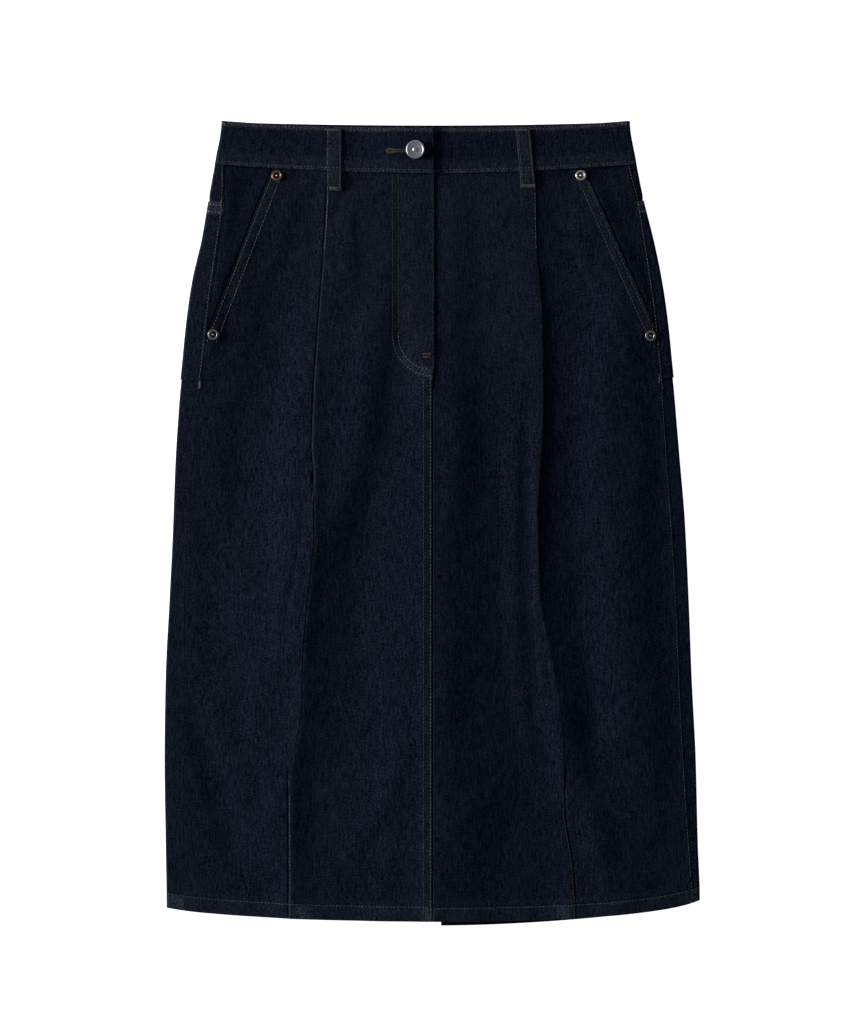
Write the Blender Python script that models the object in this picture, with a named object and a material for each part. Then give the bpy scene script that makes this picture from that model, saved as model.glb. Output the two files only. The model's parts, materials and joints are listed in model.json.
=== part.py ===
"""A denim midi skirt laid flat on its back, at its real size.

Lengths are in millimetres until a point is placed, and metres in the scene. X runs
across the skirt, +Y towards the waist and +Z up, out of the front. The origin is the
middle of the underside. Left and right are the wearer's, so the right side is at -X.
"""

import math
from collections import namedtuple

import bmesh
import bpy
from mathutils import Vector

MM = 0.001

# Cloth
CLOTH = 1.1
AIR = 0.4
LAYER = CLOTH + AIR
SEAM_GAP = 0.4
WAIST_GAP = 0.5
HEM_DEPTH = 13.5
HEM_RAMP = 7.0
HEM_EXTRA = 0.7
FOLD_RADIUS = 1.7
FOLD_EASE = 4.0
FOLD_REACH = 45.0

# Centre lines, as X
FRONT_X = 1.2
BACK_WAIST_X = -5.0
BACK_HEM_X = 8.0
BACK_LENGTH = 700.0
VENT_SHARE = 0.75
VENT_WIDTH = 8.0

# Waistband, belt loops, button and rivets
BAND = 2.4
BAND_UNDERLAP = 26.0
BAND_STEP = 13.0
LOOP_WIDTH = 13.5
LOOP_CLOTH = 2.0
LOOP_BOW = 1.4
BUTTON_RADIUS = 8.5
RIVET_RADIUS = 4.9
RIVET_GAP = 0.45

# Fly
FLY_WIDTH = 38.5
FLY_END = 134.0
FLY_UNDERLAP = 12.0
FLY_RAMP = 16.0
CENTRE_ALLOWANCE = 1.2

# Pockets: shares of the way from the waist seam to the hem, and distances from the front's centre
POCKET_TOP = 0.0507
POCKET_BOTTOM = 0.2905
POCKET_TOP_CLEAR, POCKET_TOP_FULL = 0.043, 0.049
POCKET_BOTTOM_FULL, POCKET_BOTTOM_CLEAR = 0.292, 0.298
POCKET_BOTTOM_SOFT = 0.42
POCKET_INSET = (0.256, 0.325)
POCKET_INNER = 95.0
POCKET_POINT = 16.0
FACING_REACH = 28.0
FACING_END = 6.0

RIGHT, LEFT = -1, 1
NAMES = {RIGHT: "right", LEFT: "left"}

# Distances from the front's centre line to the side fold and to the side seam
Side = namedtuple("Side", "height fold seam")
SIDES = {
    RIGHT: [
        Side(370, 195.3, 190.0),
        Side(334, 200.8, 192.4),
        Side(297, 207.3, 192.7),
        Side(260, 213.7, 197.6),
        Side(224, 222.0, 202.8),
        Side(187, 227.5, 207.5),
        Side(150, 231.2, 211.3),
        Side(113, 234.0, 216.0),
        Side(58, 237.6, 221.3),
        Side(-15, 240.4, 226.6),
        Side(-71, 243.2, 229.0),
        Side(-144, 246.8, 229.5),
        Side(-218, 247.8, 229.7),
        Side(-292, 246.8, 229.7),
        Side(-354, 245.9, 229.7),
    ],
    LEFT: [
        Side(370, 181.0, 174.0),
        Side(334, 186.5, 177.2),
        Side(297, 193.8, 186.0),
        Side(260, 203.0, 192.0),
        Side(224, 210.4, 197.8),
        Side(187, 215.9, 202.6),
        Side(150, 219.6, 206.3),
        Side(113, 222.4, 210.3),
        Side(58, 227.0, 213.9),
        Side(3, 231.6, 218.0),
        Side(-71, 235.2, 222.3),
        Side(-144, 238.0, 225.5),
        Side(-218, 241.7, 229.3),
        Side(-292, 243.5, 234.2),
        Side(-346, 245.4, 237.6),
    ],
}

# The pleat: where its edge lies, how far it laps over, how high it stands, how far it has opened
# and how wide its outer slope then is; then where the front sinks lowest beside it, and how low
Pleat = namedtuple("Pleat", "height edge overlap rise opened slope valley low")
PLEATS = {
    RIGHT: [
        Pleat(323, 97.2, 22, 3.0, 0.0, 16, 46, 3.0),
        Pleat(260, 100.0, 22, 3.0, 0.0, 16, 42, 3.0),
        Pleat(187, 105.3, 18, 3.4, 0.0, 16, 42, 2.8),
        Pleat(113, 110.2, 12, 4.4, 0.0, 16, 45, 2.8),
        Pleat(70, 111.5, 8, 6.2, 0.2, 20, 51, 2.9),
        Pleat(40, 109.4, 6, 6.8, 0.6, 26, 59, 3.0),
        Pleat(12, 107.4, 5, 7.6, 0.9, 56, 65, 3.0),
        Pleat(-12, 107.6, 4, 8.0, 1.0, 76, 70, 3.0),
        Pleat(-45, 111.0, 4, 8.2, 1.0, 76, 71, 3.0),
        Pleat(-80, 115.2, 4, 8.0, 1.0, 74, 71, 3.0),
        Pleat(-130, 119.0, 4, 7.2, 1.0, 70, 73, 2.8),
        Pleat(-172, 120.6, 4, 5.8, 1.0, 60, 81, 2.4),
        Pleat(-209, 126.8, 4, 4.4, 1.0, 44, 92, 1.8),
        Pleat(-240, 132.4, 3, 3.0, 0.6, 16, 104, 1.6),
        Pleat(-249, 132.8, 3, 3.0, 0.0, 16, 106, 1.6),
        Pleat(-268, 132.8, 10, 3.0, 0.0, 16, 100, 1.6),
        Pleat(-364, 132.6, 20, 3.0, 0.0, 16, 80, 1.6),
    ],
    LEFT: [
        Pleat(323, 94.2, 22, 3.0, 0.0, 16, 58, 2.4),
        Pleat(260, 95.0, 22, 3.0, 0.0, 16, 56, 1.4),
        Pleat(212, 97.4, 20, 3.2, 0.0, 16, 56, 0.8),
        Pleat(168, 98.2, 17, 3.6, 0.0, 16, 54, 0.6),
        Pleat(120, 98.2, 14, 4.0, 0.0, 16, 60, 0.6),
        Pleat(85, 98.0, 11, 4.4, 0.0, 16, 62, 0.6),
        Pleat(49, 97.6, 8, 4.8, 0.3, 14, 65, 0.6),
        Pleat(12, 96.6, 5, 5.0, 0.8, 24, 67, 0.6),
        Pleat(-25, 96.6, 4, 5.0, 1.0, 24, 69, 0.6),
        Pleat(-62, 97.6, 4, 4.9, 1.0, 30, 70, 0.6),
        Pleat(-99, 103.6, 4, 4.6, 1.0, 32, 70, 0.6),
        Pleat(-135, 110.6, 4, 4.2, 1.0, 34, 71, 0.6),
        Pleat(-172, 116.6, 4, 3.6, 1.0, 34, 74, 0.6),
        Pleat(-209, 119.2, 4, 3.2, 1.0, 30, 84, 0.6),
        Pleat(-240, 119.8, 3, 3.0, 0.6, 16, 92, 0.8),
        Pleat(-249, 120.0, 3, 3.0, 0.0, 16, 95, 0.8),
        Pleat(-268, 120.8, 10, 3.0, 0.0, 16, 98, 0.8),
        Pleat(-320, 128.4, 16, 3.0, 0.0, 16, 104, 0.8),
        Pleat(-366, 130.6, 20, 3.0, 0.0, 16, 100, 0.8),
    ],
}
PLEAT_LEVEL = 6.0
RIDGE_POWER = 1.3
VALLEY_POWER = 1.6

# How far the left front stands off at the centre, where the thick seam holds it up
Centre = namedtuple("Centre", "height lift")
CENTRES = [
    Centre(330, 1.6),
    Centre(250, 3.0),
    Centre(172, 4.2),
    Centre(120, 5.0),
    Centre(67, 5.6),
    Centre(0, 6.0),
    Centre(-80, 6.2),
    Centre(-200, 6.2),
    Centre(-300, 5.0),
    Centre(-366, 2.6),
]

# The front pockets' slanted edges, from the waist seam down to the side seam
Slant = namedtuple("Slant", "top_height top low_height low")
SLANTS = {
    RIGHT: Slant(327.5, 147.9, 163.8, 210.1),
    LEFT: Slant(326.6, 138.0, 173.9, 203.9),
}

# Edges that run across: height at the sides, how far the middle dips, how squarely, and how
# much of a rounded corner there is besides
Edge = namedtuple("Edge", "side dip power corner")
WAIST_SEAM = Edge(330.7, 8.4, 1.7, 0)
FRONT_TOP = Edge(370.0, 6.3, 2.4, 0)
BACK_TOP = Edge(370.0, 3.1, 2.0, 0.9)
FRONT_HEMS = {RIGHT: Edge(-354.3, 10.6, 2.3, 1.8), LEFT: Edge(-347.3, 14.8, 2.6, 4.6)}
BACK_HEMS = {RIGHT: Edge(-354.3, 10.6, 2.3, 1.8), LEFT: Edge(-347.3, 19.3, 1.9, 4.6)}
CORNER_POWER = 14

# Rows of the body, as shares of the way from the waist seam to the hem
ROWS = [
    0, POCKET_TOP_CLEAR, POCKET_TOP_FULL, 0.09, 0.13, 0.17, 0.21, 0.245, 0.265, 0.285,
    POCKET_BOTTOM_FULL, POCKET_BOTTOM_CLEAR, 0.33, 0.36, 0.39, 0.42, 0.48, 0.54, 0.60, 0.66, 0.72,
    0.77, 0.82, 0.86, 0.92, 0.9795, 0.9835, 1,
]
FRONT_ROWS = sorted([*ROWS, 0.45, 0.795, 0.834])

INDIGO = (0.0075, 0.0125, 0.024)
INDIGO_WORN = (0.016, 0.021, 0.032)
NICKEL = (0.30, 0.27, 0.24)
COPPER = (0.16, 0.085, 0.055)
BRASS = (0.12, 0.115, 0.09)


def mix(a, b, share):
    return a + (b - a) * share


def ramp(value, start, end):
    """0 up to start, 1 from end on, and a smooth rise between; start may be the larger."""
    share = min(1.0, max(0.0, (value - start) / (end - start)))
    return share * share * (3 - 2 * share)


def spread(start, end, count):
    """This many values from start to end, both included."""
    return [mix(start, end, k / (count - 1)) for k in range(count)]


def read(table, column, height):
    """A table's column at this height, on a smooth curve that stays between its rows."""
    heights = [row.height for row in table]
    values = [getattr(row, column) for row in table]
    height = min(heights[0], max(heights[-1], height))
    k = next(i for i in range(len(table) - 1) if heights[i + 1] <= height)

    def slope(i):
        if not 0 < i < len(table) - 1:
            return 0
        before = (values[i] - values[i - 1]) / (heights[i] - heights[i - 1])
        after = (values[i + 1] - values[i]) / (heights[i + 1] - heights[i])
        return 2 * before * after / (before + after) if before * after > 0 else 0

    step = heights[k + 1] - heights[k]
    s = (height - heights[k]) / step
    return (
        (2 * s**3 - 3 * s**2 + 1) * values[k]
        + (s**3 - 2 * s**2 + s) * step * slope(k)
        + (3 * s**2 - 2 * s**3) * values[k + 1]
        + (s**3 - s**2) * step * slope(k + 1)
    )


def edge_height(edge, across):
    """Height of a crosswise edge at this share of the way from the centre to the fold."""
    across = min(1.0, abs(across))
    dip = edge.dip * (1 - across**edge.power)
    return edge.side - dip - edge.corner * (1 - across**CORNER_POWER)


class Row:
    """One crosswise section of a half of the body: distances run out from the front's centre."""

    def __init__(self, side, share, hem):
        self.side, self.share, self.hem = side, share, hem
        self.side_height = mix(WAIST_SEAM.side, hem.side, share)
        to_hem = (1 - share) * (WAIST_SEAM.side - hem.side)
        self.cloth = CLOTH + HEM_EXTRA * ramp(to_hem, HEM_DEPTH + HEM_RAMP, HEM_DEPTH + 0.5)
        self.over_pocket = ramp(share, POCKET_TOP_CLEAR, POCKET_TOP_FULL) * ramp(
            share, POCKET_BOTTOM_CLEAR, POCKET_BOTTOM_FULL
        )
        self.soft_pocket = ramp(share, 0, POCKET_TOP_FULL) * ramp(
            share, POCKET_BOTTOM_SOFT, POCKET_BOTTOM_CLEAR
        )
        self.fold = read(SIDES[side], "fold", self.side_height)
        self.seam = read(SIDES[side], "seam", self.side_height)
        full, clear = POCKET_INSET
        inset = ramp(share, POCKET_TOP_CLEAR, POCKET_TOP_FULL) * ramp(share, clear, full)
        self.bend = self.fold - self.cloth / 2 - LAYER * inset
        slant = SLANTS[side]
        drop = (slant.top_height - self.height(slant.top)) / (slant.top_height - slant.low_height)
        self.slant = mix(slant.top, slant.low, drop)
        middle = self.height(self.fold / 2)
        self.pleat = Pleat(middle, *(read(PLEATS[side], c, middle) for c in Pleat._fields[1:]))

    def height(self, distance):
        across = distance / self.fold
        return mix(edge_height(WAIST_SEAM, across), edge_height(self.hem, across), self.share)

    def point(self, distance, z):
        x = FRONT_X + self.side * distance
        return Vector((x, self.height(distance), z)) * MM

    def back_level(self, distance):
        """Middle of the back panel's cloth, which lies over the back pocket."""
        return self.cloth / 2 + LAYER * self.over_pocket * ramp(
            distance, POCKET_INNER - 15, POCKET_INNER - 3
        )

    def front_level(self, distance):
        """Middle of a single layer of cloth lying on the back panel, raised near the side fold."""
        stack = self.cloth + AIR
        pocket = LAYER * self.soft_pocket * ramp(distance, POCKET_INNER - 65, POCKET_INNER - 20)
        fold = (2 * FOLD_RADIUS - stack) * ramp(self.bend - distance, FOLD_REACH, FOLD_EASE)
        return self.cloth / 2 + stack + pocket + fold

    def over_facing(self, distance):
        """How far the pocket facing lifts the front panel."""
        slant = SLANTS[self.side]
        reach = ramp(distance, self.slant - FACING_REACH - 18, self.slant - FACING_REACH - 3)
        return LAYER * reach * ramp(self.side_height, slant.low_height - 38, slant.low_height - 12)

    def over_fly(self, distance):
        """How far the fly, and below it the centre seam's allowance, lift the right front."""
        fly = 2 * LAYER * ramp(distance, FLY_WIDTH + 13, FLY_WIDTH + 1.5)
        allowance = CENTRE_ALLOWANCE * ramp(distance, 20, 10)
        height = self.height(0)
        return mix(allowance, fly, ramp(height, FLY_END - FLY_RAMP - 8, FLY_END - 8))

    def relief(self, distance, top, start):
        """Lift of the front's middle part: level at the pleat, then low, then up to the centre."""
        centre = read(CENTRES, "lift", self.height(0))
        valley = min(self.pleat.valley, start - 5)
        outer = mix(self.pleat.low, top, max(0, (distance - valley) / (start - valley)) ** VALLEY_POWER)
        if self.side == LEFT:
            return outer if distance > valley else mix(self.pleat.low, centre, ramp(distance, valley, 0))
        under = self.over_fly(distance) + centre * ramp(distance, 45, 15)
        inner = mix(self.pleat.low, centre + self.over_fly(0), ramp(distance, valley, 0))
        return max(under, outer if distance > valley else inner)


def turn(edge, low, high, outwards, steps=4):
    """Half a turn of cloth between two heights, its furthest point at this distance."""
    radius = (high - low) / 2
    centre = edge - outwards * radius
    angles = spread(-math.pi / 2, math.pi / 2, steps + 1)
    return [
        (centre + outwards * radius * math.cos(a), (low + high) / 2 + radius * math.sin(a))
        for a in angles
    ]


def front_section(row):
    """The front panel's middle line: in from its outer edge, under the pleat and over it to the centre."""
    pleat = row.pleat
    stack = (row.cloth + AIR) * (1 + 2 * pleat.opened)
    rise = max(pleat.rise, stack + row.cloth + AIR)
    small, large = stack / 2, (rise - stack) / 2
    overlap = max(pleat.overlap, small + large + 1)
    base = row.front_level(pleat.edge)
    inner, outer = pleat.edge - overlap, pleat.edge
    folded = turn(inner, base, base + stack, -1)
    flat = spread(inner + small, outer - large, 4)[1:-1]
    folded += [(d, base + stack) for d in flat]
    folded += turn(outer, base + stack, base + rise, 1)
    last = len(folded) - 1
    fold = []
    for k, (distance, z) in enumerate(folded):
        share = k / last
        open_distance = outer + pleat.slope * (1 - share)
        open_z = base + pleat.rise * share**RIDGE_POWER
        fold.append((mix(distance, open_distance, pleat.opened), mix(z, open_z, pleat.opened)))
    rise = mix(rise, pleat.rise, pleat.opened)

    start = min(row.slant, row.seam - SEAM_GAP / 2)
    end = fold[0][0]
    steps = [0, 8, 18, FACING_REACH + 3, FACING_REACH + 18]
    closed = [start - s for s in steps] + spread(start - steps[-1], end, 4)[1:-1]
    even = spread(start, end, len(closed) + 1)[:-1]
    outside = [mix(c, e, pleat.opened) for c, e in zip(closed, even)]
    line = [(d, row.front_level(d) + row.over_facing(d)) for d in outside] + fold

    level_end = outer - mix(overlap + PLEAT_LEVEL, 4, pleat.opened)
    inside = spread(level_end, FLY_WIDTH + 13, 6) + [FLY_WIDTH + 1.5, 30, 20, 10]
    flying = row.side == LEFT and row.height(0) > FLY_END
    inside.append(-FLY_UNDERLAP if flying else SEAM_GAP / 2)
    return line + [(d, row.front_level(d) + row.relief(d, rise, level_end)) for d in inside]


def around_side(row, offset, start, stops):
    """A line from the front, round the side fold to the back, moved out from the panel by offset."""
    centre = row.bend - FOLD_RADIUS
    low = row.back_level(centre) - offset
    top = row.front_level(centre) + offset
    line = [(d, row.front_level(d) + offset) for d in spread(start, centre, 3)[:-1]]
    for angle in spread(math.pi / 2, -math.pi / 2, 7):
        distance = centre + (FOLD_RADIUS + offset) * math.cos(angle)
        line.append((distance, (top + low) / 2 + (top - low) / 2 * math.sin(angle)))
    return line + [(d, row.back_level(d) - offset) for d in stops]


def centre_back(row):
    """Distance of the centre-back edge, which falls away from the seam below the vent."""
    down = (WAIST_SEAM.side - row.height(0)) / BACK_LENGTH
    x = mix(BACK_WAIST_X, BACK_HEM_X, down)
    opening = VENT_WIDTH * ramp(down, VENT_SHARE, 1) if row.side == RIGHT else 0
    return row.side * (x - FRONT_X) + SEAM_GAP / 2 + opening


def offset_line(line, amount):
    """The line moved sideways, keeping its distance from the first one round bends."""
    points = [Vector(p) for p in line]
    ways = [(b - a).normalized() for a, b in zip(points, points[1:])]
    moved = []
    for k, point in enumerate(points):
        before, after = ways[max(k - 1, 0)], ways[min(k, len(ways) - 1)]
        normals = [Vector((w.y, -w.x)) for w in (before, after)]
        middle = (normals[0] + normals[1]).normalized()
        moved.append(point + middle * amount / max(0.6, middle.dot(normals[0])))
    return moved


def finish(obj, colour, roughness, metallic=0.0):
    """Gives an object a material of its own."""
    material = bpy.data.materials.new(obj.name)
    material.use_nodes = True
    shader = material.node_tree.nodes["Principled BSDF"]
    shader.inputs["Base Color"].default_value = (*colour, 1)
    shader.inputs["Roughness"].default_value = roughness
    shader.inputs["Metallic"].default_value = metallic
    material.diffuse_color = (*colour, 1)
    obj.data.materials.append(material)


def new_object(name, mesh_or_bmesh):
    """Links a named object that holds the mesh, with every face pointing out."""
    mesh = bpy.data.meshes.new(name)
    bmesh.ops.recalc_face_normals(mesh_or_bmesh, faces=mesh_or_bmesh.faces)
    mesh_or_bmesh.to_mesh(mesh)
    mesh_or_bmesh.free()
    obj = bpy.data.objects.new(name, mesh)
    bpy.context.scene.collection.objects.link(obj)
    return obj


def loft(name, rings):
    """A closed wall through rings of points: the outer line, then the inner line back."""
    bm = bmesh.new()
    loops = [[bm.verts.new(p) for p in ring] for ring in rings]
    count = len(loops[0])
    for one, other in zip(loops, loops[1:]):
        for k in range(count):
            after = (k + 1) % count
            bm.faces.new((one[k], one[after], other[after], other[k]))
    for ring in (loops[0], loops[-1]):
        for k in range(count // 2 - 1):
            bm.faces.new((ring[k], ring[k + 1], ring[-k - 2], ring[-k - 1]))
    obj = new_object(name, bm)
    obj.data.shade_smooth()
    obj.data.set_sharp_from_angle(angle=math.radians(50))
    return obj


def cloth(name, rows, section, colour=INDIGO):
    """A wall of cloth through one section for each row."""
    rings = []
    for row in rows:
        line = section(row)
        outer = offset_line(line, row.cloth / 2)
        inner = offset_line(line, -row.cloth / 2)
        rings.append([row.point(*p) for p in outer + inner[::-1]])
    finish(loft(name, rings), colour, 0.85)


def rows_between(side, hem, first, last):
    """The body's rows between two shares, with a row at each of the two."""
    inside = [share for share in ROWS if first + 0.008 < share < last - 0.008]
    return [Row(side, share, hem) for share in [first, *inside, last]]


def build_front(side):
    rows = [Row(side, share, FRONT_HEMS[side]) for share in FRONT_ROWS]
    rows[0] = Row(side, WAIST_GAP / 680, FRONT_HEMS[side])
    cloth("front_" + NAMES[side], rows, front_section)


def build_back(side):
    def section(row):
        inner = [row.fold - 20, POCKET_INNER + 60, POCKET_INNER - 3, POCKET_INNER - 15, 40]
        return around_side(row, 0, row.seam + SEAM_GAP / 2, [*inner, centre_back(row)])

    rows = [Row(side, share, BACK_HEMS[side]) for share in ROWS]
    rows[0] = Row(side, WAIST_GAP / 680, BACK_HEMS[side])
    cloth("back_" + NAMES[side], rows, section)


def build_back_pocket(side):
    def section(row):
        point = POCKET_POINT * ramp(row.share, POCKET_BOTTOM - 0.05, POCKET_BOTTOM)
        inner = [POCKET_INNER + 45 + point, POCKET_INNER + point]
        return around_side(row, LAYER, row.seam + SEAM_GAP / 2, inner)

    rows = rows_between(side, BACK_HEMS[side], POCKET_TOP, POCKET_BOTTOM)
    cloth("back_pocket_" + NAMES[side], rows, section)


def build_facing(side):
    def section(row):
        stops = spread(row.seam - SEAM_GAP, row.slant - FACING_REACH, 6)
        return [(d, row.front_level(d)) for d in stops]

    hem = FRONT_HEMS[side]
    low = SLANTS[side].low_height + FACING_END
    last = (WAIST_SEAM.side - low) / (WAIST_SEAM.side - hem.side)
    rows = rows_between(side, hem, WAIST_GAP / 680, last)
    cloth("pocket_facing_" + NAMES[side], rows, section)


def build_fly_facing():
    """A J-shaped strip under the right front's closing edge."""
    curve_top = FLY_END + FLY_WIDTH

    def section(row):
        below = min(FLY_WIDTH - 1, max(0.0, curve_top - row.height(0)))
        width = math.sqrt(FLY_WIDTH**2 - below**2)
        top, start = row.pleat.rise, row.pleat.edge - row.pleat.overlap - PLEAT_LEVEL
        stops = [width, min(30, width - 1.5), min(20, width - 3), min(10, width - 4.5), 1.0]
        return [(d, row.front_level(d) + row.relief(d, top, start) - LAYER) for d in stops]

    hem = FRONT_HEMS[RIGHT]
    centre_length = WAIST_SEAM.side - WAIST_SEAM.dip - (hem.side - hem.dip - hem.corner)
    tops = WAIST_SEAM.side - WAIST_SEAM.dip
    curve_share = (tops - curve_top) / centre_length
    end_share = (tops - FLY_END - 1.5) / centre_length
    shares = spread(WAIST_GAP / 680, curve_share, 7) + spread(curve_share, end_share, 6)[1:]
    cloth("fly_facing", [Row(RIGHT, share, hem) for share in shares], section)


def band_line(side_height):
    """The waistband's middle line at one height, from its underlap round the back to its closing end.

    Each stop is its X, its height, its share of the half width, and whether it lies at the back."""
    stops = []
    for side in (LEFT, RIGHT):
        fold = read(SIDES[side], "fold", side_height)
        centre = fold - BAND / 2 - FOLD_RADIUS
        reach = [-BAND_UNDERLAP, 0, 30, 60, 90, 120, centre - 25, centre - 12, centre]
        if side == RIGHT:
            reach = [0, 14, BAND_UNDERLAP + 3, BAND_UNDERLAP + 3 + BAND_STEP, *reach[3:]]
        front = []
        for d in reach:
            raised = (2 * FOLD_RADIUS - BAND - AIR) * ramp(centre + FOLD_RADIUS - d, FOLD_REACH, FOLD_EASE)
            if side == RIGHT:
                raised += (BAND + AIR) * ramp(d, BAND_UNDERLAP + 3 + BAND_STEP, BAND_UNDERLAP + 3)
            front.append((d, BAND * 1.5 + AIR + raised, False))
        for angle in spread(math.pi / 2, -math.pi / 2, 7)[1:]:
            d = centre + FOLD_RADIUS * math.cos(angle)
            front.append((d, BAND / 2 + FOLD_RADIUS * (1 + math.sin(angle)), angle < 0))
        front += [(centre * share, BAND / 2, True) for share in (2 / 3, 1 / 3)]
        if side == LEFT:
            front.append((0, BAND / 2, True))
        half = [(FRONT_X + side * d, z, d / fold, back) for d, z, back in front]
        stops += half if side == LEFT else half[::-1]
    return stops


def build_waistband():
    rings = []
    for share in (0, 0.5, 1):
        stops = band_line(mix(WAIST_SEAM.side, FRONT_TOP.side, share))
        line = [(x, z) for x, z, _, _ in stops]
        heights = [
            mix(
                edge_height(WAIST_SEAM, across),
                edge_height(BACK_TOP if back else FRONT_TOP, across),
                share,
            )
            for _, _, across, back in stops
        ]
        ring = []
        for amount, order in ((BAND / 2, 1), (-BAND / 2, -1)):
            moved = offset_line(line, amount)
            placed = [Vector((p.x, y, p.y)) * MM for p, y in zip(moved, heights)]
            ring += placed[::order]
        rings.append(ring)
    obj = loft("waistband", rings)
    finish(obj, INDIGO_WORN, 0.85)


def row_at(side, distance, height):
    """The front's section through a point."""
    hem = FRONT_HEMS[side]
    share = (WAIST_SEAM.side - height) / (WAIST_SEAM.side - hem.side)
    for _ in range(3):
        share += (Row(side, share, hem).height(distance) - height) / (WAIST_SEAM.side - hem.side)
    return Row(side, share, hem)


def front_surface(side, distance, height):
    """The outer face of the front panel at a point: its place and the way it faces."""

    def place(d, y):
        row = row_at(side, d, y)
        z = row.front_level(d) + row.over_facing(d) + row.cloth / 2
        return Vector((FRONT_X + side * d, y, z))

    here = place(distance, height)
    along = place(distance, height + 1) - place(distance, height - 1)
    across = place(distance + side, height) - place(distance - side, height)
    return here, across.cross(along).normalized()


def build_belt_loop(side, top, low):
    """A folded strip, tacked down at the top of the waistband and below its seam."""
    band_face = 2 * BAND + AIR
    row = row_at(side, *low)
    pleat_face = row.front_level(low[0]) + row.pleat.rise + CLOTH / 2
    z_top = band_face + AIR + LOOP_CLOTH / 2
    z_low = pleat_face + AIR + LOOP_CLOTH / 2
    rings = []
    for share in spread(0, 1, 9):
        bow = LOOP_BOW * math.sin(math.pi * share) ** 2
        x = FRONT_X + side * mix(top[0], low[0], share)
        y = mix(top[1], low[1], share)
        z = mix(z_top, z_low, ramp(share, 0.55, 0.85)) + bow
        half = LOOP_WIDTH / 2
        up, down = z + LOOP_CLOTH / 2, z - LOOP_CLOTH / 2
        corner = 0.5
        outline = [
            (-half + corner, up), (0, up + 0.15), (half - corner, up), (half, up - corner),
            (half, down), (0, down), (-half, down), (-half, up - corner),
        ]
        rings.append([Vector((x + dx, y, dz)) * MM for dx, dz in outline])
    bm = bmesh.new()
    loops = [[bm.verts.new(p) for p in ring] for ring in rings]
    for one, other in zip(loops, loops[1:]):
        for k in range(len(one)):
            after = (k + 1) % len(one)
            bm.faces.new((one[k], one[after], other[after], other[k]))
    bm.faces.new(loops[0])
    bm.faces.new(loops[-1])
    obj = new_object("belt_loop_" + NAMES[side], bm)
    finish(obj, INDIGO_WORN, 0.85)


def build_turned(name, profile, steps, place, facing, colour, roughness):
    """A turned metal piece: its profile, radius and height, spun about its own axis."""
    bm = bmesh.new()
    chain = [bm.verts.new(Vector((radius, 0, z)) * MM) for radius, z in profile]
    edges = [bm.edges.new(pair) for pair in zip(chain, chain[1:])]
    bmesh.ops.spin(
        bm, geom=chain + edges, cent=(0, 0, 0), axis=(0, 0, 1),
        angle=2 * math.pi, steps=steps, use_merge=True,
    )
    bmesh.ops.remove_doubles(bm, verts=bm.verts, dist=1e-6)
    obj = new_object(name, bm)
    obj.location = Vector(place) * MM
    obj.rotation_mode = "QUATERNION"
    obj.rotation_quaternion = Vector(facing).to_track_quat("Z", "Y")
    obj.data.shade_smooth()
    obj.data.set_sharp_from_angle(angle=math.radians(35))
    finish(obj, colour, roughness, 1.0)


def build_button():
    """A tack button with a raised rim and a small boss, on the closing end of the waistband."""
    face = 3 * BAND + 2 * AIR + SEAM_GAP
    profile = [
        (0, 0), (3.2, 0), (3.2, 1.4), (6.5, 1.6), (8.2, 2.1), (BUTTON_RADIUS, 2.9),
        (8.1, 3.7), (7.2, 3.9), (6.4, 3.5), (3.6, 3.2), (2.6, 3.5), (1.4, 4.1), (0, 4.2),
    ]
    build_turned("button", profile, 28, (FRONT_X - 16.7, 343.0, face), (0, 0, 1), NICKEL, 0.35)


def build_rivet(name, side, distance, height, colour):
    """A ring-shaped rivet cap with a burr in its middle."""
    profile = [
        (0, 0), (RIVET_RADIUS - 0.3, 0), (RIVET_RADIUS, 0.5), (4.2, 1.2), (3.0, 1.5),
        (2.1, 1.2), (1.8, 0.9), (1.1, 1.2), (0, 1.5),
    ]
    place, facing = front_surface(side, distance, height)
    build_turned(name, profile, 18, place + facing * RIVET_GAP, facing, colour, 0.4)


for old in list(bpy.data.objects):
    bpy.data.objects.remove(old)

for half in (RIGHT, LEFT):
    build_back(half)
    build_back_pocket(half)
    build_facing(half)
    build_front(half)
build_fly_facing()
build_waistband()
build_belt_loop(RIGHT, top=(91.2, 362.5), low=(91.2, 305.2))
build_belt_loop(LEFT, top=(82.5, 362.5), low=(87.3, 308.0))
build_button()
build_rivet("rivet_right_top", RIGHT, 144.0, 319.6, COPPER)
build_rivet("rivet_right_low", RIGHT, 202.5, 173.0, BRASS)
build_rivet("rivet_left_top", LEFT, 135.8, 319.8, NICKEL)
build_rivet("rivet_left_low", LEFT, 199.4, 172.0, BRASS)
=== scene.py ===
"""A dark indigo denim midi skirt, laid flat on a white table: every sewn piece with its finish."""

import json
import math
from collections import namedtuple

import bmesh
import bpy
import numpy as np
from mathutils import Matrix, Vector
from mathutils.bvhtree import BVHTree

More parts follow.
